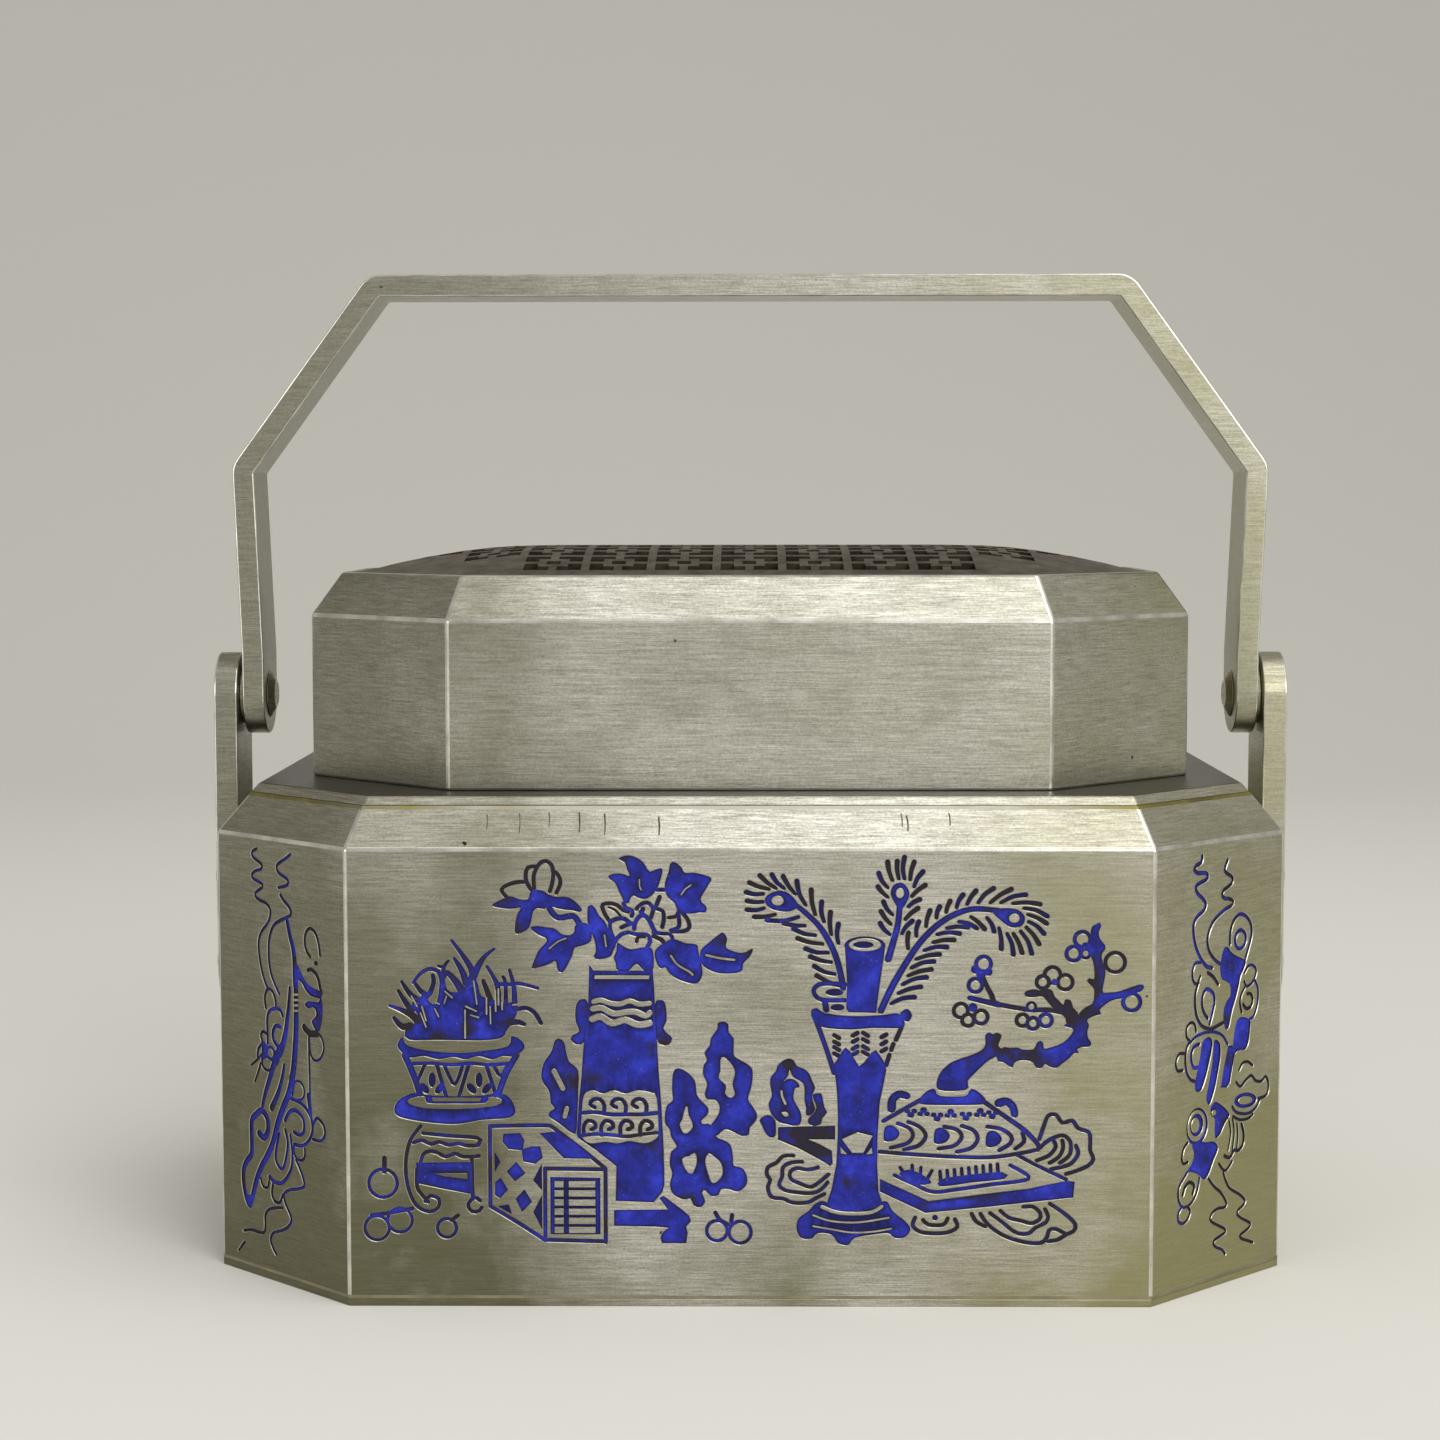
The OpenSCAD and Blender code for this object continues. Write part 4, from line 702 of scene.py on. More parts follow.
    # basin with its curled handles
    pic.blue(soft(21.2, 26.3, 22.1, 27.4, 23.1, 27.8, 23.7, 27.2, 25.4, 27, 27.1, 27.1, 27.8, 27.8,
            28.9, 27.2, 29.6, 26.3, 28.9, 25.8, 21.8, 25.8), worn=0.05)
    pic.metal(stroke(0.2, 23.5, 27.5, 23.9, 27.05, 26.8, 27, 27.3, 27.4))
    pic.line(1.1, 17.8, 25.3, 17.9, 26.4, 18.7, 27.1, 19.7, 26.9, tip=0.9, worn=0.12)
    pic.line(1.1, 31.2, 26, 32.2, 26.2, 33, 25.5, 33.2, 24.6, tip=0.9, worn=0.12)
    for width, *points in (
            (0.5, 16.75, 23.7, 18.6, 24.8, 21.4, 26.4),
            (0.6, 29.3, 26.2, 32, 24.3, 34.5, 22.5, 36.2, 20.7, 36.1, 20.1),
            (0.5, 16.3, 19.8, 20, 19.5, 25, 19.2, 30, 19.1, 33.8, 19.6, 36.1, 20.1),
            (0.5, 18.6, 23.4, 20, 22.8, 20.5, 21.9, 19.8, 20.9, 17.7, 20.3),
            (0.5, 19.9, 23.6, 21.4, 22.9, 22.1, 21.8, 21.2, 20.6, 19.4, 20.1),
            (0.5, 24.4, 23, 26, 22.6, 26.6, 21.7, 25.7, 20.6, 23.7, 20.2),
            (0.5, 26.6, 23.1, 28.1, 22.5, 28.6, 21.4, 27.8, 20.3, 26, 19.8),
            (0.5, 29.8, 23, 31.5, 22.7, 32.8, 21.8, 32.7, 20.9, 31.3, 20),
            (0.5, 34.2, 22.2, 34.4, 21.1, 33.3, 20.2)):
        pic.line(width, *points, worn=0.3)
    for i, (x, y) in enumerate(
            ((20.2, 24.8), (21.8, 24.8), (23.5, 24.3), (25.2, 24.6), (27.1, 24.4), (28.9, 24.7),
                (30.4, 24.6))):
        side = 0.3 if i % 2 else -0.3
        pic.blue(oval(x, y + side, 0.42, 0.36), oval(x - 0.42, y - side * 0.6, 0.36, 0.3),
            oval(x + 0.42, y - side * 0.6, 0.36, 0.3), worn=0.1)
    for x, y in ((17.7, 22.1), (24, 21.8), (30.5, 21.4)):
        pic.blue(soft(x - 0.8, y - 0.9, x - 0.7, y + 0.8, x + 0.3, y + 1, x + 1.1, y + 0.1,
                x + 0.5, y - 0.8), worn=0.1)
    # slab table with two combs of grass
    pic.blue(flat(16.4, 16.3, 22.5, 13.5, 30, 14.5, 35, 15.1, 39.7, 16.1, 40.75, 16, 40.6, 14, 36.1, 13.5,
            30, 12.8, 22.1, 12, 16.4, 14.7), worn=0.02)
    pic.line(0.48, 33.6, 19.4, 35.6, 18.3, 39.7, 16.3, worn=0.3)
    pic.line(0.48, 18.2, 16.8, 20.6, 15.7, 23, 14.7, 26, 15, 30, 15.6, 35, 16.4, 32.7, 18.1, worn=0.2)
    pic.blue(soft(18.8, 17, 20, 17.5, 21.6, 16.9, 22.8, 15.9, 21.4, 15.6, 19.8, 16.3))
    for points in (
            (19.6, 16.7, 18.9, 17.8), (20.5, 16.6, 20.4, 18.1), (21.4, 16.4, 21.5, 17.8),
            (22.1, 16, 22.9, 17.4)):
        pic.line(0.5, *points, tip=0.4)
    pic.blue(soft(23.9, 15.4, 24.2, 16.3, 27, 16.8, 31.7, 17.2, 32, 16.4, 28, 15.9))
    for i in range(9):
        x = 24 + 0.9 * i
        pic.line(0.48, x, 16.1 + 0.08 * i, x - 0.1, 17.3 + 0.12 * i, tip=0.42, worn=0.1)
    clouds(pic, 0.5,
        (36.3, 21.4, 36.8, 22.9, 37.4, 24.4, 38.4, 24.5, 39.2, 23.5, 40.4, 23.8, 41.2, 22.8, 42.5, 22.3,
            42.7, 21.2, 42.7, 20, 43.1, 18.9, 42.5, 18.1, 41, 17.4, 39.7, 17),
        (36.4, 20.3, 37.5, 21.3, 39.2, 21.9, 40.2, 21.1, 40.2, 19.6, 39.6, 18.9, 38.9, 18.4),
        (36, 18.7, 37.6, 19.4, 38.4, 20.5, 38.1, 21.2), (37.6, 18.4, 38.8, 19.2, 39.3, 20.3, 39.2, 21.3),
        (40.9, 20.6, 41.2, 19.6, 40.4, 18.4, 39.2, 17.9, 37.8, 17.6))
    clouds(pic, 0.5, (20.8, 11.4, 20.5, 10.4, 21.4, 9.6, 22.9, 9.4, 24.8, 9.5, 26.1, 10.2, 25.8, 11.2),
        (21.8, 11.1, 22.5, 10.5, 24.3, 10.5, 24.9, 11.3), (27.9, 11.9, 28.5, 10.9, 29.6, 10.3),
        (29, 11.9, 30, 10.5, 32, 9.1, 34.5, 8.3, 36.6, 8.2, 37.4, 9, 37.6, 9.8, 38.4, 10, 39.6, 9.4),
        (30.2, 12, 31.8, 10.8, 33.5, 9.5, 35, 9.4, 36, 10.2, 37.2, 10.8, 37.5, 11.6, 37.1, 12.5),
        (31.5, 12.3, 32.6, 11.4, 34.2, 11, 35.4, 10.7, 36.4, 11.2, 36.5, 12, 35.6, 12.8, 34.4, 12.8),
        (37.7, 13.2, 39.6, 11.9, 40.9, 10.6, 40.7, 9.7, 39.8, 9.3, 38.7, 8.6, 37.5, 8.4))
    pic.blue(oval(23.3, 11.4, 0.35))


def frontPicture():
    pic = Picture(spots=((-19.4, 41, 2.4), (-11.8, 33, 2.6), (-19, 29, 2.2), (-45, 18, 2.5), (-21.5, 29, 2),
            (42.2, 41.5, 3), (35, 31.8, 3.4), (31, 33, 2.6), (41.5, 37.5, 2.6), (-35.5, 35, 2.5),
            (-39, 34.4, 2), (-33, 39.5, 1.6), (-30.3, 37, 2.2), (-42.5, 36, 2.2), (8, 21, 3), (-14, 22, 3),
            (31, 51, 3), (-8, 13.5, 2), (12, 16, 2.2), (-31, 51.3, 2.6), (-29, 48.2, 1.8), (-26.6, 43.4, 2),
            (-15.5, 57, 1.6), (-9.2, 56, 1.8), (-3.3, 46.6, 2), (0, 45, 1.4), (5, 31, 1.6), (8.6, 24.5, 2),
            (-11.5, 20, 2), (13.5, 27, 1.6), (30, 14, 2), (22, 13, 1.6)))
    for draw in (grassPot, curledStand, bookBox, tallVase, peonySpray, piercedRock, rockTray, feathers,
                 beakerVase, prunusBasin):
        draw(pic)
    return pic


# a flute and sceptre tied with ribbons
def leftCorner():
    pic = Picture(spots=((3, 37.5, 2.5), (2.9, 43, 1.2), (-8.8, 12.3, 2.5), (7.2, 33.9, 1.8), (8, 36, 1.5),
            (-2.5, 22.9, 1.5)))
    pic.blue(soft(2.6, 42, 3.4, 42.3, 4.2, 41.5, 5.3, 40.3, 6.6, 39.7, 7.9, 39.5, 8.7, 39.2, 8.5, 38.5,
            7.4, 38.5, 6.2, 38.6, 5.2, 39.2, 4.3, 40.1, 3.6, 40.3, 3, 40.6),
        soft(5, 37.3, 5.6, 37.8, 6.8, 37.9, 7.9, 38, 8.4, 38.6, 8.8, 38, 8.8, 36.4, 8.5, 35.2, 8.1, 34.3,
            7.4, 34.2, 6.7, 34.8, 6.4, 35.4, 6.8, 35.7, 7.4, 36.2, 7.3, 36.9, 6.6, 37.2, 5.8, 36.9),
        soft(-4.2, 31.3, -3, 30.8, -1.6, 30.5, -0.4, 30.6, -0.7, 29.1, -1.4, 28.4, -2, 28.8, -3.6, 29.2,
            -4.3, 28.8, -4.6, 30), soft(-8.7, 10.3, -6.9, 10.3, -7, 9.3, -7.6, 8.6, -8.4, 9.1))
    for width, tip, worn, *points in (
            (0.7, 1.1, 0.1, 1.4, 47.8, 1.7, 46.8, 2.1, 45.6, 2.6, 44.4, 2.9, 43, 3, 41, 3.1, 39.5),
            (1, 1.2, 0.1, 3.1, 40, 3.15, 37.5, 3.1, 34.5, 2.9, 32, 2.5, 29.1, 2, 27),
            (1.1, 0.9, 0.06, 2.1, 27.5, 1.35, 25.4, 0, 23.2, -1.2, 21, -2.3, 18.3, -3.7, 16.2, -4.85, 14.8,
                -6, 12.9, -6.8, 11, -7.5, 9.3),
            (0.5, 1, 0.1, 0.4, 28.9, -0.2, 26.8, -1.2, 24.7, -2.5, 22.8),
            (0.5, 1.2, 0.1, 1.8, 39.1, 1.7, 38, 1.5, 36.5, 1.2, 35, 0.8, 33.2, 0.2, 31.6, -0.6, 30.2),
            (1.2, 0.6, 0.1, -0.5, 30.9, -1.95, 28.5, -2.9, 26.5, -3.9, 24.5, -4.6, 22.6),
            (0.95, 0.85, 0.08, -5.4, 19, -4.25, 18.6, -3.4, 19.7, -3.5, 21.2, -4.65, 22.1, -6, 21.4,
                -7, 20.4, -7.05, 17.9, -7.15, 16, -8.3, 14.8, -9, 13.5, -9, 11.7, -8.5, 10, -8, 9.2),
            (0.45, 0.45, 0.35, -5.1, 56.4, -6, 56, -6.1, 55.5, -5.6, 55.1, -4.5, 54.7, -3.9, 54.3,
                -4.3, 53.8, -5.4, 53.5, -6.2, 53, -6, 52.5, -5, 52.2, -3.9, 51.9, -3.9, 51.5, -4.7, 51.1,
                -5.5, 50.6, -5.5, 50.2, -4.7, 49.8, -3.2, 49.5, -2.4, 49, -2.2, 48.4, -2.5, 47.4,
                -3.2, 46.6, -4.1, 45.8, -4.8, 44.7, -4.9, 43.4, -4.6, 41.8, -4.2, 40.4, -3.6, 39.2,
                -3, 38.4),
            (0.45, 0.45, 0.35, 2.3, 56.3, 1.2, 55.7, 0, 55.1, -0.7, 54.6, -0.5, 53.9, 0.3, 53.5, 1.3, 53.2,
                1.8, 52.8, 1.5, 52.3, 0.5, 52, -0.4, 51.8),
            (0.5, 0.45, 0.3, 0, 50.9, 0.8, 50.2, 1.8, 49.6, 2.3, 48.9, 2.2, 48.5, 1.5, 48.2, 0.2, 47.7,
                -1.1, 47.1, -1.9, 46.3, -2.5, 45, -2.7, 43.4, -2.6, 41.8, -2.2, 40.4, -1.4, 39.1, -0.5, 38),
            (0.45, 0.45, 0.3, 2.7, 16.8, 3.5, 15.8, 4.25, 14.6, 4.4, 13.7, 3.1, 13.1, 1.15, 12.6, 0, 11.9,
                0.2, 10.8, 1.15, 9.6, 1.55, 8.7, 0.75, 7.7, -0.8, 6.9, -2.5, 6.3, -3.1, 5.4, -2.7, 4.4,
                -1.95, 3.6),
            (0.42, 0.42, 0.5, -0.4, 10, -1.95, 9.7, -3.5, 9.2, -4.25, 8.3, -4.25, 7.1, -4.45, 6.1,
                -5.4, 5.8, -7.35, 5.8, -9.1, 5.4),
            (0.42, 0.3, 0.5, -9, 3.9, -10.4, 2.5),
            (0.9, 0.9, 0.6, 4.8, 34.4, 5.4, 34, 6.2, 33.7, 7.6, 33.9),
            (0.45, 0.45, 0.5, 6.3, 43.6, 5.6, 44.2, 5.2, 45.2, 5.3, 46.3, 5.9, 47.1, 6.7, 47.2, 7.5, 46.7,
                8, 45.8, 8.3, 44.8, 8.4, 44),
            (0.5, 0.6, 0.5, 5.7, 41.8, 6.4, 42, 7.4, 41.6, 8, 40.9, 8.3, 40, 8.6, 39.2),
            (0.36, 0.36, 0.35, 5.9, 33.2, 6, 31.6, 6.5, 30.6, 7.4, 30.4, 8.4, 31, 9, 32.2, 8.7, 33.2,
                8.1, 33.9),
            (0.4, 0.4, 0.3, 5.8, 33.2, 5.8, 30.9, 5.9, 28, 5.9, 25.7, 5.8, 24.7),
            (0.9, 0.7, 0.1, 5.6, 25.6, 6, 23.2),
            (0.45, 0.45, 0.4, -3.5, 35.8, -3.7, 37, -3.3, 38.1, -2.5, 38.4, -1.7, 37.8, -1.3, 36.9,
                -1.3, 36.2),
            (0.5, 0.5, 0.2, 0.2, 35.2, -0.3, 35.9, -1.4, 36, -2.7, 35.5, -3.2, 34.5, -3.2, 32.9,
                -3.2, 31.2),
            (0.6, 0.6, 0.1, -0.4, 33.7, -1.4, 33.7, -2, 32.8, -1.8, 31.7, -0.6, 30.9),
            (0.45, 0.45, 0.1, -3.4, 32.4, -4.2, 32.6, -4.7, 32.1, -4.4, 31.1, -5.3, 30.2, -5.5, 29.1),
            (0.4, 0.4, 0.3, -4.5, 29.3, -4.4, 28.1, -3.4, 27.6, -2.2, 28),
            (0.4, 0.3, 0.45, -4.5, 29.6, -5.6, 28.7, -7, 27.8),
            (0.45, 0.3, 0.45, -4.85, 28.3, -5.4, 27.1, -6.2, 25.7),
            (0.36, 0.36, 0.3, 2.1, 25.2, 2.7, 27, 3.9, 27.1, 4.65, 26.3, 4.45, 25.2, 3.3, 24.7, 1.9, 24.8),
            (0.55, 0.5, 0.1, 1.7, 24.7, 3.5, 24.5, 5, 23.9, 6.2, 22.6, 6.3, 21, 5.4, 19.7, 4.05, 18.9,
                2.3, 18.8),
            (0.6, 0.5, 0.1, 0.4, 21.6, 1.55, 23, 3.1, 23.2, 4.45, 22.3, 4.45, 20.8, 3.5, 20.2, 2.3, 20.4),
            (0.45, 0.45, 0.25, 6.5, 22, 7.3, 23, 8.6, 22.4, 9, 21.2, 8.1, 20.2, 6.4, 20.1),
            (0.4, 0.4, 0.3, 2.3, 18.6, 2.3, 17.7, 2.9, 17, 4.05, 17, 4.65, 17.7, 4.6, 18.6),
            (0.5, 0.5, 0.1, 0.4, 20.4, 0.95, 18.8, 0.55, 16.8, -0.2, 15.2, -1.2, 15.4, -1.75, 16.4,
                -1.5, 17.9, -0.9, 19.7),
            (0.45, 0.6, 0.15, 1.5, 19.9, 1.9, 17.9, 1.8, 16, 0.95, 14.5, -0.4, 13.3, -1.9, 13.1,
                -3.2, 13.6),
            (0.4, 0.4, 0.4, -5.2, 13.1, -4.65, 12.1, -3.7, 12.1, -3.3, 13.1),
            (0.45, 0.45, 0.15, -2.4, 12.9, -2.7, 11.6, -2.15, 10.6, -1, 10.6, -0.3, 11.7)):
        pic.line(width, *points, tip=tip, worn=worn)
    pic.ring(-2.6, 30, 0.75, 0.5, worn=0.1)
    pic.metal(*(stroke(0.2, 2.75, z, 3.5, z + 0.1) for z in (36.2, 36.9, 37.6, 38.3)))
    pic.blue(oval(7.5, 42.9, 0.42, 0.3), worn=0.5)
    return pic


# clappers, a drum and a fan tied with ribbons
def rightCorner():
    pic = Picture(spots=((1.4, 34.7, 1.6), (2, 28.8, 2.4), (0.5, 40, 1), (1.6, 21.1, 2), (-6, 12.6, 2)))
    pic.blue(soft(0.9, 43.9, 1.8, 44, 2.3, 43.5, 3.4, 42.8, 5.2, 42.1, 5.8, 41.6, 5.5, 40.9, 4.8, 40,
            4.5, 39.3, 4.2, 38.3, 3.6, 36.9, 2.9, 35.5, 2.2, 33.5, 1.5, 33.4, 1, 34.7, 1.1, 36.1, 1.7, 37,
            2.4, 37.5, 2.5, 38.3, 2.3, 39.1, 1.6, 39.6, 0.6, 40, 0.2, 40.9, 0.2, 42.1),
        soft(4, 34.1, 4.9, 34.5, 6.3, 34.2, 7, 33.7, 6.9, 32.4, 6.6, 30.9, 5.9, 30.1, 5, 30.2, 4, 30.1,
            3.4, 29.7, 3.2, 31.1, 3.5, 32.9),
        flat(3.1, 31, 3.7, 30, 2.6, 26.2, 2, 25.7, 0.6, 25.9, 1.2, 28.3, 2.1, 31.1),
        soft(-3.4, 32.4, -2, 32.8, -1.3, 31.9, -2, 29.3, -2.9, 27.2, -3.7, 26.1, -4.7, 26.2, -5, 27,
            -4.4, 29.1, -3.9, 30.6),
        soft(-0.9, 32.2, 0.3, 31.7, 0.5, 30.1, 0, 28, -0.6, 26.1, -1, 25.2, -1.8, 24, -2.5, 24.9, -2, 26.7,
            -1.3, 29.3),
        soft(-1.5, 23.6, -0.5, 24.2, 0.8, 23.6, 2.2, 22.6, 2.6, 21.9, 1.6, 21, 0.6, 19.8, -0.4, 19.4,
            -0.6, 20.6, -0.6, 22, -1.4, 22.6),
        soft(-5.4, 19.4, -4, 19.6, -2.4, 19.2, -0.6, 19, 0.2, 18, -0.8, 16.5, -1.6, 15.2, -2.6, 14.4,
            -3.6, 15, -4.4, 15.5, -5.6, 15.9, -6.4, 16.1, -5.4, 17, -5, 18.2), oval(-4.4, 21.6, 2.3, 2.4))
    pic.metal(oval(-4.5, 21.7, 1.85, 1.95), oval(-0.8, 22.8, 0.4, 0.3))
    pic.blue(oval(-4.5, 21.8, 1.4, 1.45), oval(6.1, 23.4, 2.5, 1, -6))
    pic.metal(oval(-4.8, 21.8, 0.8, 0.9), oval(6.1, 23.4, 1.5, 0.45, -6))
    for width, worn, *points in (
            (0.55, 0.22, -4, 56.3, -4.2, 55.5, -5.2, 55.2, -5.7, 54.7, -4.9, 54.2, -3.6, 54.1, -2.9, 53.9,
                -2.8, 53.4, -3.4, 53.1, -4.3, 52.9, -5.3, 52.5, -5, 51.7, -4, 51, -3.2, 50.3, -3.2, 49.7,
                -3.7, 49.2, -4.8, 48.7, -5.6, 47.9, -5.7, 46.7, -5.3, 45.2, -4.6, 43.9, -3.6, 42.7,
                -2.7, 42, -1.6, 41.7),
            (0.5, 0.35, 1.5, 55.3, 1, 54.5, 0.9, 53.9, 1.6, 53.5, 2.6, 52.9, 2.4, 52.2, 1.6, 51.8,
                0.6, 51.4, 0.4, 50.8, 1, 50.4, 2.1, 50.2, 2.8, 49.8, 2.4, 49.3, 1.2, 49, -0.2, 48.4,
                -1.4, 47.7, -2.3, 46.6, -2.7, 45.3, -2.3, 44, -1.4, 43, -0.4, 42.3, 0.5, 41.9),
            (0.5, 0.3, 2.2, 44.3, 2.3, 46, 3, 47.3, 4.3, 48, 5.7, 47.6, 6.8, 46.4, 6.9, 44.9, 6.3, 43.4,
                5.6, 41.9),
            (0.45, 0.4, -4, 42.7, -5.2, 42.7, -5.8, 41.7, -5.6, 40.5, -4.8, 40, -4.1, 40.9),
            (0.5, 0.4, -2.5, 41.2, -1.3, 40.5, -0.2, 39.4),
            (0.5, 0.45, -4.6, 40, -5.1, 38.9, -5.2, 37.5, -4.8, 35.9, -3.9, 34.7, -2.8, 34.1, -1.6, 33.8,
                -0.4, 34, 1, 34.3),
            (0.5, 0.35, -2, 38.9, -2.8, 39.1, -3.5, 38.5, -3.7, 37.3, -3.2, 36.1, -2.4, 35.3),
            (0.5, 0.1, -2.1, 38.9, -1.3, 38.4, -1, 37.3, -1.4, 35.9, -2, 34.5),
            (0.4, 0.4, -4.9, 33.9, -5.2, 34.9, -6, 35.2, -6.9, 34.6, -6.9, 33.5, -6.2, 32.9),
            (0.42, 0.35, 5.5, 40.2, 6.3, 41, 7.4, 41, 8.1, 40.3, 7.8, 39.3, 7, 38.6, 6, 38.4, 5.5, 39.1),
            (0.42, 0.3, 7.9, 38.9, 8.5, 37.9, 8.6, 36.7, 8.3, 35.3, 7.6, 34.2, 6.8, 34),
            (0.42, 0.3, 5.6, 38.3, 4.8, 37.3, 4.6, 36.3, 5, 35.1),
            (0.5, 0.5, 5.3, 36.1, 6, 35.5, 7, 35.6, 7.4, 36.5, 7, 37.3, 6.2, 37.4),
            (0.4, 0.15, -6.1, 32.6, -5, 33.2, -3, 33.5, -0.8, 33.3, 0.9, 32.6, 2, 31.3),
            (0.45, 0.4, -6.3, 32.7, -6.9, 31.9, -7.1, 30.4, -6.7, 28.8, -5.8, 27.8, -4.9, 27.5),
            (0.5, 0.15, -4.2, 32.2, -5.4, 31.9, -5.9, 30.8, -5.4, 29.4, -4.3, 29.2),
            (0.4, 0.4, -7.3, 31.4, -8.4, 31.5, -9.1, 30.5, -8.7, 29.4, -7.6, 29.3),
            (0.42, 0.5, -6.4, 19.8, -7.2, 19.2, -7.6, 18, -7.2, 17.2, -6.3, 17.3),
            (0.42, 0.3, -6.4, 16, -7.3, 15.2, -8.2, 14.2, -8.2, 12.8, -7.4, 11.7, -6, 11.6, -4.8, 12.4,
                -4.1, 13.6, -3.8, 14.8),
            (0.5, 0.4, -7.3, 13.2, -6.8, 14.2, -5.8, 14.6, -4.9, 14, -5.2, 13),
            (0.42, 0.3, -6.4, 11.6, -5.7, 10.9, -6.2, 9.9, -7.2, 9.5, -8.2, 10, -8.2, 11, -7.6, 11.6),
            (0.4, 0.45, 4.6, 27.6, 5.4, 28.4, 6.6, 28.4, 7.6, 27.8),
            (0.42, 0.45, 4, 26.1, 5, 25.4, 6.2, 26.1, 7.4, 26.5, 8.3, 25.7, 9.6, 25.4, 10.6, 25.9,
                11.2, 24.9, 11, 23.6, 10, 23.2, 9, 23.2),
            (0.42, 0.4, 3.2, 23, 4, 22.2, 5.6, 21.7, 7.2, 21.6, 8.6, 22.2, 9.3, 23.1),
            (0.4, 0.5, 3.4, 21.7, 5, 21, 6.8, 20.9, 7.8, 21.3),
            (0.34, 0.5, 2.5, 21.4, 2.9, 19.6, 2.4, 17.4), (0.34, 0.5, 3.3, 21.4, 3.7, 19.6, 3.3, 17.1),
            (0.34, 0.5, 4.3, 20.6, 4.5, 19, 4.3, 17.4),
            (0.5, 0.55, 5.3, 20.4, 5.8, 19, 5.6, 17.6, 4.6, 17, 3.8, 17.2, 2.8, 16.4, 1.6, 16.8),
            (0.4, 0.5, 0.4, 16, 1.4, 15, 2.2, 14.9, 3.3, 15.8),
            (0.4, 0.5, -1.8, 14.4, -0.6, 13.2, 0.8, 12.2, 1.8, 11.1, 2.2, 10.3, 1.6, 10, 0.4, 10.1,
                -0.8, 9.8, -1.4, 9.1, -0.8, 8.5, 0.6, 7.8, 1.8, 7.2, 2, 6.7, 1, 6.4, -0.3, 6.1, -0.6, 5.6,
                0.2, 5, 1.4, 4.5, 2, 3.8),
            (0.4, 0.5, 1.4, 14.6, 2, 13.4, 2.8, 12.4, 4.2, 11.6, 5.6, 10.8, 6.3, 10, 5.8, 9.5, 4.8, 9.1,
                4.6, 8.6, 5.4, 8, 6.8, 7.3, 7.6, 6.8, 7.2, 6.3, 6, 5.9, 5.2, 5.6, 5.8, 5.1, 7.2, 4.6,
                8.2, 4.2)):
        pic.line(width, *points, worn=worn)
    pic.ring(4.5, 44.7, 1.15, 0.6, worn=0.1)
    return pic


# the same picture seen the other way round
def mirrored(pic):
    twin = Picture(spots=[(-x, y, r) for x, y, r in pic.spots])
    twin.shapes = [(kind, [Vector((-p.x, p.y)) for p in outline][::-1], worn)
                   for kind, outline, worn in pic.shapes]
    return twin


engraving = {  # mm
    "groove": 0.55, "fill": 0.2, "bed": 0.04,  # depths of the cut and of the enamel in it, and the gap below
    "rub": 0.08, "rubDepth": 0.07, "hair": 0.22, "hairLip": 0.03,  # the rubbed lip, which also takes a painted highlight, and the widest hairline
    "shade": 0.34, "broad": 2.5, "step": 1.2,  # the painted shade at the edge of a broad shape, its least area, its grid
    "spotWear": 0.45, "nick": 0.12, "merge": 0.002,
}


def sides(outline):
    return list(zip(outline, outline[1:] + outline[:1]))


def twiceArea(outline):
    return sum(a.cross(b) for a, b in sides(outline))


def anticlockwise(outline):
    return outline if twiceArea(outline) > 0 else outline[::-1]


# points on a square grid inside an outline
def spread(outline, step):
    spans = [range(math.ceil(min(side) / step), math.floor(max(side) / step) + 1) for side in zip(*outline)]
    found, around = [], sides(outline)
    for x, y in ((i * step, j * step) for i in spans[0] for j in spans[1]):
        crossed = sum((a.y > y) != (b.y > y) and x < a.x + (y - a.y) * (b.x - a.x) / (b.y - a.y)
                      for a, b in around)
        if crossed % 2:
            found.append(Vector((x, y)))
    return found


# an anticlockwise outline let out by some distance, or drawn in where that is negative
def letOut(outline, by):
    grown = []
    for i, p in enumerate(outline):
        a, b = (p - outline[i - 1]), (outline[(i + 1) % len(outline)] - p)
        if a.length < 1e-6 or b.length < 1e-6:
            continue
        n = Vector((a.y, -a.x)).normalized() + Vector((b.y, -b.x)).normalized()
        grown.append(p + by * n.normalized() if n.length > 0.3 else p)
    return grown


def wornAt(pic, p, base):
    near = (max(0, 1 - math.hypot(p.x - x, p.y - y) / r) for x, y, r in pic.spots)
    return min(1, base + sum(engraving["spotWear"] * n for n in near))


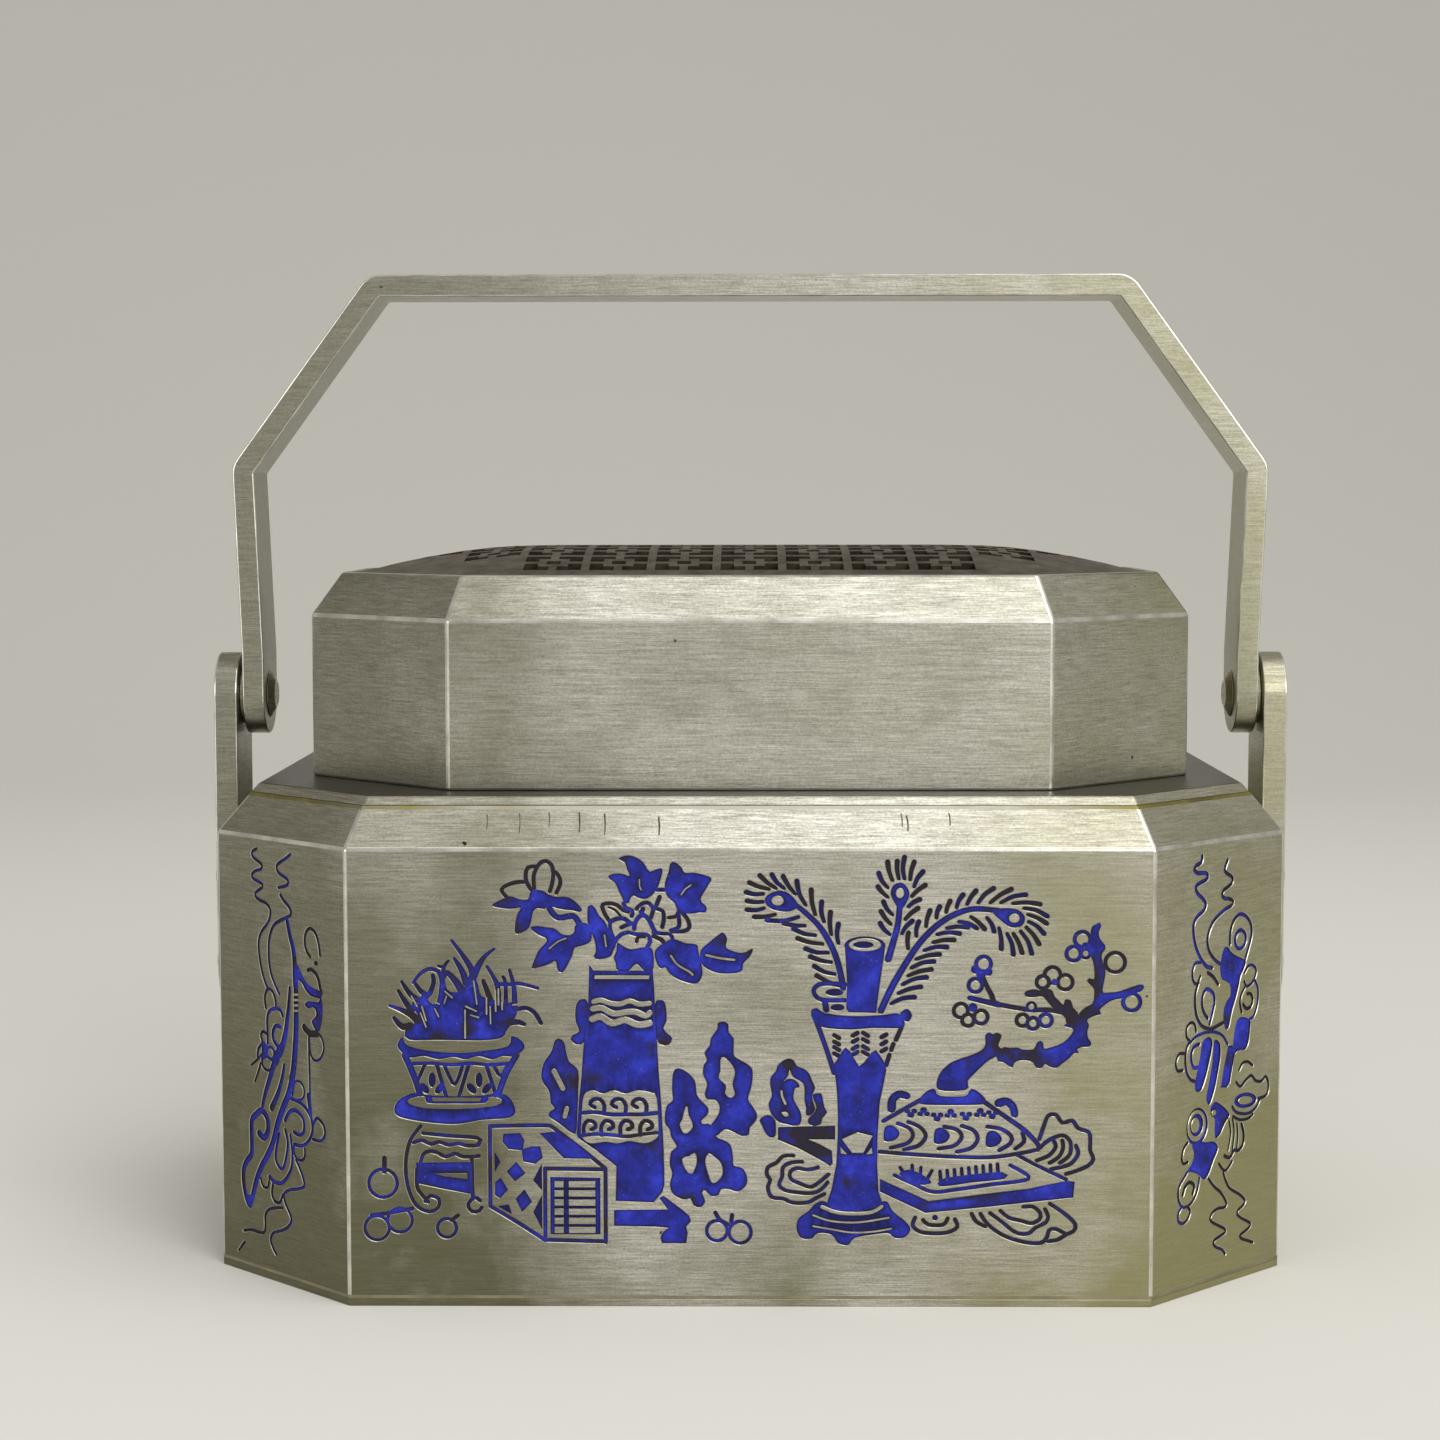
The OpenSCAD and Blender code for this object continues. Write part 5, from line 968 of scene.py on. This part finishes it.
# sorts the flat face into plain metal, rubbed lips and cuts, shape by shape as they were drawn
def sortFace(edge, pic, guided):
    loops, kinds = [edge], [("plain", 0)]
    points, faces, guides = [], [], []
    shapes = [(kind, anticlockwise(outline), worn) for kind, outline, worn in pic.shapes]
    for kind, outline, worn in shapes:
        around = sum((b - a).length for a, b in sides(outline))
        if kind == "land" and twiceArea(outline) / around < engraving["hair"]:  # a hairline is all lip
            loops.append(letOut(outline, engraving["hairLip"]))
            kinds.append(("landLip", worn))
            continue
        loops += [letOut(outline, engraving["rub"]), outline]
        kinds += [(kind + "Lip", worn), (kind, worn)]
    for loop in loops:
        faces.append(list(range(len(points), len(points) + len(loop))))
        points += loop
    # a line inside each broad shape and points over it, so that enamel can take a painted shade at its edge
    # and darken at worn spots
    for kind, outline, worn in shapes if guided else ():
        if kind == "cut" and twiceArea(outline) > 2 * engraving["broad"]:
            loop = letOut(outline, -engraving["shade"])
            guides += [(len(points) + i, len(points) + (i + 1) % len(loop)) for i in range(len(loop))]
            points += loop + spread(loop, engraving["step"])
    flatVerts, _, flatFaces, _, _, sources = delaunay_2d_cdt(points, guides, faces, 1, 1e-4)
    states, wear = [], []
    for covers in sources:
        state, worn = "land", 0
        for kind, amount in (kinds[i] for i in sorted(covers)):
            if kind in ("cut", "land"):
                state, worn = kind, amount
            elif kind == "cutLip" and state == "land" or kind == "landLip" and state == "cut":
                state = "lip"
        states.append(state)
        wear.append(worn)
    return flatVerts, flatFaces, states, wear


def onlyVerts(geometry):
    return [item for item in geometry if isinstance(item, bmesh.types.BMVert)]


# cuts the picture into one wall face
def engrave(wall, face, place, pic, groove):
    back = place.inverted()
    edge = [(back @ v.co).to_2d() for v in face.verts]
    flatVerts, flatFaces, states, _ = sortFace(edge, pic, False)
    depth = [engraving["rubDepth"]] * len(flatVerts)
    for corners, state in zip(flatFaces, states):
        if state == "land":
            for i in corners:
                depth[i] = 0
    wall.faces.remove(face)
    verts = [wall.verts.new(place @ Vector((p.x, p.y, -d))) for p, d in zip(flatVerts, depth)]
    cutFaces = []
    for corners, state in zip(flatFaces, states):
        made = wall.faces.new([verts[i] for i in corners])
        # the lips take rubbed wear with a painted highlight
        made.material_index = {"land": 0, "lip": 3, "cut": 2}[state]
        if state == "cut":
            cutFaces.append(made)
    sunk = onlyVerts(bmesh.ops.extrude_face_region(wall, geom=cutFaces)["geom"])
    bmesh.ops.delete(wall, geom=[f for f in cutFaces if f.is_valid], context="FACES_ONLY")
    for v in sunk:
        local = back @ v.co
        v.co = place @ Vector((local.x, local.y, -groove))
    # the cut's walls and floor take tarnish with painted shade
    for f in {f for v in sunk for f in v.link_faces}:
        f.material_index = 2
    return edge


# the slab of enamel that fills a cut
def fill(edge, place, pic, name):
    points, flatFaces, states, wear = sortFace(edge, pic, True)
    # rim marks the points at a shape's edge, where the enamel takes a painted shade
    fade, rim = [0.0] * len(points), [0] * len(points)
    for corners, state, worn in zip(flatFaces, states, wear):
        for i in corners:
            if state == "cut":
                fade[i] = max(fade[i], worn)
            else:
                rim[i] = 1
    slab = bmesh.new()
    wornLayer, rimLayer = slab.verts.layers.float.new("worn"), slab.verts.layers.float.new("rim")
    low = {}
    for corners in (corners for corners, state in zip(flatFaces, states) if state == "cut"):
        for i in corners:
            if i not in low:
                p = points[i]
                low[i] = slab.verts.new(place @ Vector((p.x, p.y, engraving["bed"] - engraving["groove"])))
                low[i][wornLayer] = wornAt(pic, p, fade[i])
                low[i][rimLayer] = rim[i]
        slab.faces.new([low[i] for i in corners])
    raised = onlyVerts(bmesh.ops.extrude_face_region(slab, geom=slab.faces[:])["geom"])
    thick = engraving["groove"] - engraving["fill"] - engraving["bed"]
    bmesh.ops.translate(slab, verts=raised, vec=place.to_3x3() @ Vector((0, 0, thick)))
    bmesh.ops.recalc_face_normals(slab, faces=slab.faces[:])
    return newPiece(slab, name, [enamel], "body", "blue_enamel")


def newPiece(mesh, name, materials, body, slot, *replaced):
    data = bpy.data.meshes.new(name)
    mesh.to_mesh(data)
    mesh.free()
    piece = bpy.data.objects.new(name, data)
    bpy.context.scene.collection.objects.link(piece)
    for material in materials:
        data.materials.append(material)
    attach(piece, body)
    if replaced:
        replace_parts(piece, *replaced)
    return piece


bodyWall = {  # mm; half: from the middle to a side, to the front and to a corner side
    "half": (70, 45, 67.53), "thick": 1.6, "low": 1.4, "high": 58, "seam": 62.6, "seamIn": 3.86,
    "rimWide": 2.1, "innerDrop": 0.6,
    "edge": 0.3, "edgeParts": 5, "sharp": 0.3, "roundedFrom": 2, "roundedTo": 58.5,  # which edges are round
}


# corner points of the eight-sided outline, drawn in by some distance
def eightCorners(half, drawnIn):
    a, b, c = (h - drawnIn for h in half)
    s = c * math.sqrt(2)
    return [(a, s - a), (s - b, b), (b - s, b), (-a, s - a),
            (-a, a - s), (b - s, -b), (s - b, -b), (a, a - s)]


def makeWall():
    size = bodyWall
    wall = bmesh.new()
    rim, inside = size["seamIn"] + size["rimWide"], size["high"] - size["innerDrop"]
    levels = ((size["low"], 0), (size["high"], 0), (size["seam"], size["seamIn"]), (size["seam"], rim),
              (inside, size["thick"]), (size["low"], size["thick"]))

    def setRing(verts, level):
        verts = sorted(verts, key=lambda v: math.atan2(v.co.y, v.co.x) % (2 * math.pi))
        for v, (x, y) in zip(verts, eightCorners(size["half"], level[1])):
            v.co = Vector((x, y, level[0])) * mm

    ring = bmesh.ops.create_circle(wall, cap_ends=False, segments=8, radius=size["half"][0] * mm)["verts"]
    setRing(ring, levels[0])
    firstEdges = wall.edges[:]
    edges = firstEdges
    for level in levels[1:]:
        made = bmesh.ops.extrude_edge_only(wall, edges=edges)["geom"]
        edges = [g for g in made if isinstance(g, bmesh.types.BMEdge)]
        setRing(onlyVerts(made), level)
    bmesh.ops.bridge_loops(wall, edges=edges + firstEdges)
    bmesh.ops.recalc_face_normals(wall, faces=wall.faces[:])

    def faceOutside(f):
        middle = f.calc_center_median()
        return abs(middle.z) > size["roundedFrom"] * mm and f.normal.dot(middle) > 0

    outer = [e for e in wall.edges
             if e.calc_face_angle(0) > size["sharp"] and all(map(faceOutside, e.link_faces))
             and min(v.co.z for v in e.verts) < size["roundedTo"] * mm]
    rounded = bmesh.ops.bevel(wall, geom=outer, offset=size["edge"] * mm, offset_type="OFFSET",
                              affect="EDGES", segments=size["edgeParts"], profile=0.5, material=-1)
    # the rounded outer edges take the edge metal: rubbed wear with a painted highlight
    for f in rounded["faces"]:
        f.material_index = 1
    return wall


wallMesh = makeWall()


def wallFace(outward):
    facing = (f for f in wallMesh.faces if f.normal.dot(outward) > 0.999)
    return max(facing, key=lambda f: f.calc_center_median().dot(outward) + f.calc_area())


front, leftDrawing, rightDrawing = frontPicture(), leftCorner(), rightCorner()
longHalf, deepHalf, cornerHalf = bodyWall["half"]
shift = (longHalf - deepHalf) / math.sqrt(2)
panels = (("frontEnamel", "front_enamel", 0, deepHalf, 0, front),
          ("backEnamel", "back_enamel", 180, deepHalf, 0, mirrored(front)),
          ("frontLeftEnamel", "front_left_enamel", -45, cornerHalf, -shift, leftDrawing),
          ("frontRightEnamel", "front_right_enamel", 45, cornerHalf, shift, rightDrawing),
          ("backLeftEnamel", "back_left_enamel", -135, cornerHalf, shift, mirrored(leftDrawing)),
          ("backRightEnamel", "back_right_enamel", 135, cornerHalf, -shift, mirrored(rightDrawing)))
for name, node, turn, span, aside, pic in panels:
    a = math.radians(turn)
    right, outward = Vector((math.cos(a), math.sin(a), 0)), Vector((math.sin(a), -math.cos(a), 0))
    foot = (outward * span + right * aside) * mm
    place = Matrix(((right.x * mm, 0, outward.x * mm, foot.x), (right.y * mm, 0, outward.y * mm, foot.y),
                    (0, mm, 0, 0), (0, 0, 0, 1)))
    face = wallFace(outward)
    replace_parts(fill(engrave(wallMesh, face, place, pic, engraving["groove"]), place, pic, name), node)
# old nicks across the front shoulder: place along it, start and end down the slope, width
nicks = Picture()
for x, top, low, width in (
        (-33, 5.2, 3, 0.09), (-28.9, 5.4, 2.4, 0.08), (-25.2, 5.5, 3.4, 0.05), (-21.4, 5.5, 2.6, 0.1),
        (-18.2, 5.3, 2.2, 0.08), (-11.4, 4.8, 2.2, 0.1), (19, 5.3, 3.4, 0.06), (19.7, 5, 2.8, 0.09),
        (25, 5.4, 3.6, 0.07), (-35.6, 1, 0.75, 0.5)):
    nicks.line(width, x, top, x + 0.12, (top + low) / 2, x + 0.1, low, tip=width * 0.6)
rise = bodyWall["seam"] - bodyWall["high"]
lean = math.hypot(bodyWall["seamIn"], rise)
up = Vector((0, bodyWall["seamIn"] / lean, rise / lean))
outward = Vector((0, -up.z, up.y))
place = Matrix(((mm, 0, 0, 0), (0, up.y * mm, outward.y * mm, -deepHalf * mm),
                (0, up.z * mm, outward.z * mm, bodyWall["high"] * mm), (0, 0, 0, 1)))
engrave(wallMesh, wallFace(outward), place, nicks, engraving["nick"])
bmesh.ops.remove_doubles(wallMesh, verts=wallMesh.verts[:], dist=engraving["merge"] * mm)
newPiece(wallMesh, "bodyWall", [wallMetal, edgeWearAndPaintedHighlight, grooveTarnishAndPaintedShade, lipWearAndPaintedHighlight], "body", "paktong", "side_wall")
print("wall engraved and filled")

dressing = {
    "merge": 0.002, "partsPerMm": 7,
    "flat": math.radians(0.6), "bend": math.radians(0.8), "sharp": math.radians(28),
    "deckTop": 0.95, "plateTop": 0.35,  # how far up a face looks to count as the top
}


# a CAD shape dressed for the eye: merged, its flat faces made whole, its sharp edges rubbed round
def dressed(node, name, materials, slot, edge):
    source = nodes[node]
    mesh = bmesh.new()
    mesh.from_mesh(source.data)
    mesh.transform(source.matrix_world)
    bmesh.ops.remove_doubles(mesh, verts=mesh.verts[:], dist=dressing["merge"] * mm)
    bmesh.ops.dissolve_limit(mesh, angle_limit=dressing["flat"], verts=mesh.verts[:], edges=mesh.edges[:])
    bmesh.ops.recalc_face_normals(mesh, faces=mesh.faces[:])
    sharp = []
    for e in mesh.edges:
        bend = e.calc_face_angle(0)
        if bend > dressing["sharp"]:
            sharp.append(e)
        elif bend > dressing["bend"]:
            for f in e.link_faces:
                f.smooth = True
    if edge:
        rubbed = bmesh.ops.bevel(mesh, geom=sharp, offset=edge * mm, offset_type="OFFSET", affect="EDGES",
                                 segments=max(2, round(edge * dressing["partsPerMm"])), profile=0.5,
                                 material=-1, clamp_overlap=True)
        # the rounded faces take the last material; where that is the edge metal it is rubbed wear with a
        # painted highlight
        for f in rubbed["faces"]:
            f.material_index = len(materials) - 1
            f.smooth = False
    if deckDirtAndPaintedShadow in materials:  # dirt and the painted shadow of the lid make the top dark, filed bright where its edge carries on the shoulder's slope
        for f in mesh.faces:
            f.material_index = 0 if abs(f.normal.z) > dressing["deckTop"] else 1
    if sootAndPaintedShade in materials:  # soot and painted shade: black inside the piercings and underneath, the plate's own colour on top
        for f in mesh.faces:
            f.material_index = 0 if f.normal.z > dressing["plateTop"] else 1
    for e in mesh.edges:
        e.smooth = e.calc_face_angle(0) < dressing["sharp"]
    body = next(b for b, empty in frame["bodies"].items() if empty == source.parent)
    return newPiece(mesh, name, materials, body, slot, node)


paktongWithEdgeWearAndPaintedHighlight = [wallMetal, edgeWearAndPaintedHighlight]
for node, name, materials, slot, edge in (
        ("base_plate", "basePlate", [wallMetal], "paktong", 0.12),
        ("base_braze", "baseSeam", [rubbedBrass], "brass", 0),
        ("deck_plate", "shoulderDeck", [deckDirtAndPaintedShadow, wallMetal], "paktong", 0.3),
        ("deck_braze", "deckSeam", [seamBrass], "brass", 0),
        ("neck_band", "neckBand", paktongWithEdgeWearAndPaintedHighlight, "paktong", 0.15),
        ("fire_pan", "firePan", [panCopper], "copper", 0.15),
        ("left_ear", "leftEar", paktongWithEdgeWearAndPaintedHighlight, "paktong", 0.4),
        ("right_ear", "rightEar", paktongWithEdgeWearAndPaintedHighlight, "paktong", 0.4),
        ("left_ear_rivets", "leftEarRivets", paktongWithEdgeWearAndPaintedHighlight, "paktong", 0.2),
        ("right_ear_rivets", "rightEarRivets", paktongWithEdgeWearAndPaintedHighlight, "paktong", 0.2),
        ("left_pivot_pin", "leftPivotPin", paktongWithEdgeWearAndPaintedHighlight, "paktong", 0.2),
        ("right_pivot_pin", "rightPivotPin", paktongWithEdgeWearAndPaintedHighlight, "paktong", 0.2),
        ("left_washer", "leftWasher", paktongWithEdgeWearAndPaintedHighlight, "paktong", 0.12),
        ("right_washer", "rightWasher", paktongWithEdgeWearAndPaintedHighlight, "paktong", 0.12),
        ("lid_shell", "lidShell", paktongWithEdgeWearAndPaintedHighlight, "paktong", 0.32),
        ("pierced_plate", "piercedPlate", [plateMetal, sootAndPaintedShade], "paktong", 0),
        ("handle_strap", "handleStrap", [topMetal, edgeWearAndPaintedHighlight], "paktong", 0.45)):
    dressed(node, name, materials, slot, edge)
print("other pieces dressed")

# plain studio: pale floor, pale surround, soft light from above and the right
studio = {
    "floor": "#dddbd6", "surround": "#dddbd6", "ambient": 0.85, "seen": 0.7,
    "keyPower": 0.95, "frontPower": 1.4, "edgePower": 0.35, "spread": 70, "aim": (0, 0, 0.06),
    # the floor and its far wall
    "half": 3, "middle": (0, -1.6, 0), "wallHigh": 3, "curve": 0.8, "curveParts": 24,
}
floorMesh = bmesh.new()
bmesh.ops.create_grid(floorMesh, x_segments=1, y_segments=1, size=studio["half"],
                      matrix=Matrix.Translation(studio["middle"]))
farEdge = [e for e in floorMesh.edges if all(v.co.y > 1 for v in e.verts)]
raised = onlyVerts(bmesh.ops.extrude_edge_only(floorMesh, edges=farEdge)["geom"])
bmesh.ops.translate(floorMesh, verts=raised, vec=(0, 0, studio["wallHigh"]))
fold = [e for e in floorMesh.edges if len(e.link_faces) == 2]
bmesh.ops.bevel(floorMesh, geom=fold, offset=studio["curve"], offset_type="OFFSET", affect="EDGES",
                segments=studio["curveParts"], profile=0.5, material=-1)
for f in floorMesh.faces:
    f.smooth = True
floorData = bpy.data.meshes.new("studioFloor")
floorMesh.to_mesh(floorData)
floorMesh.free()
floor = bpy.data.objects.new("studioFloor", floorData)
bpy.context.scene.collection.objects.link(floor)
paper, paperTree, paperShader, _ = newMaterial("paleStudioPaper")
setInputs(paperTree, paperShader, {"Base Color": linear(studio["floor"]), "Roughness": 0.9})
floorData.materials.append(paper)

scene = bpy.context.scene
world = scene.world or bpy.data.worlds.new("studioWorld")
scene.world = world
world.use_nodes = True
tree = world.node_tree
tree.nodes.clear()
path = addNode(tree, "ShaderNodeLightPath")
seen = maths(tree, "MAXIMUM", path.outputs["Is Camera Ray"], path.outputs["Is Glossy Ray"])
seen = maths(tree, "MAXIMUM", seen, path.outputs["Is Transmission Ray"])
strength = between(tree, seen, 0, 1, studio["ambient"], studio["seen"])
shade = addNode(tree, "ShaderNodeBackground", {"Color": linear(studio["surround"]), "Strength": strength})
addNode(tree, "ShaderNodeOutputWorld", {"Surface": shade.outputs[0]})


def softLamp(name, power, width, height, spot):
    lamp = bpy.data.lights.new(name, "AREA")
    lamp.shape, lamp.size, lamp.size_y, lamp.energy = "RECTANGLE", width, height, power
    lamp.spread = math.radians(studio["spread"])  # kept off the floor beside the lamp
    holder = bpy.data.objects.new(name, lamp)
    holder.location = spot
    holder.rotation_euler = (Vector(studio["aim"]) - Vector(spot)).to_track_quat("-Z", "Y").to_euler()
    scene.collection.objects.link(holder)


softLamp("keyLamp", studio["keyPower"], 1.1, 0.8, (0.3, -0.3, 0.95))
softLamp("edgeLamp", studio["edgePower"], 0.35, 0.7, (-0.8, -0.8, 0.35))
softLamp("frontLamp", studio["frontPower"], 0.9, 0.7, (0.6, -1, 0.5))

lens = bpy.data.cameras.new("studioCamera")
lens.lens, lens.sensor_width, lens.sensor_fit = 70.3, 36, "HORIZONTAL"
lens.clip_start = 0.01
camera = bpy.data.objects.new("studioCamera", lens)
camera.location = (0, -0.3926, 0.1011)
camera.rotation_euler = (math.pi / 2 - 0.0774, 0.0011, 0.0104)
scene.collection.objects.link(camera)
scene.camera = camera
scene.view_settings.view_transform = "Standard"
print("studio ready")
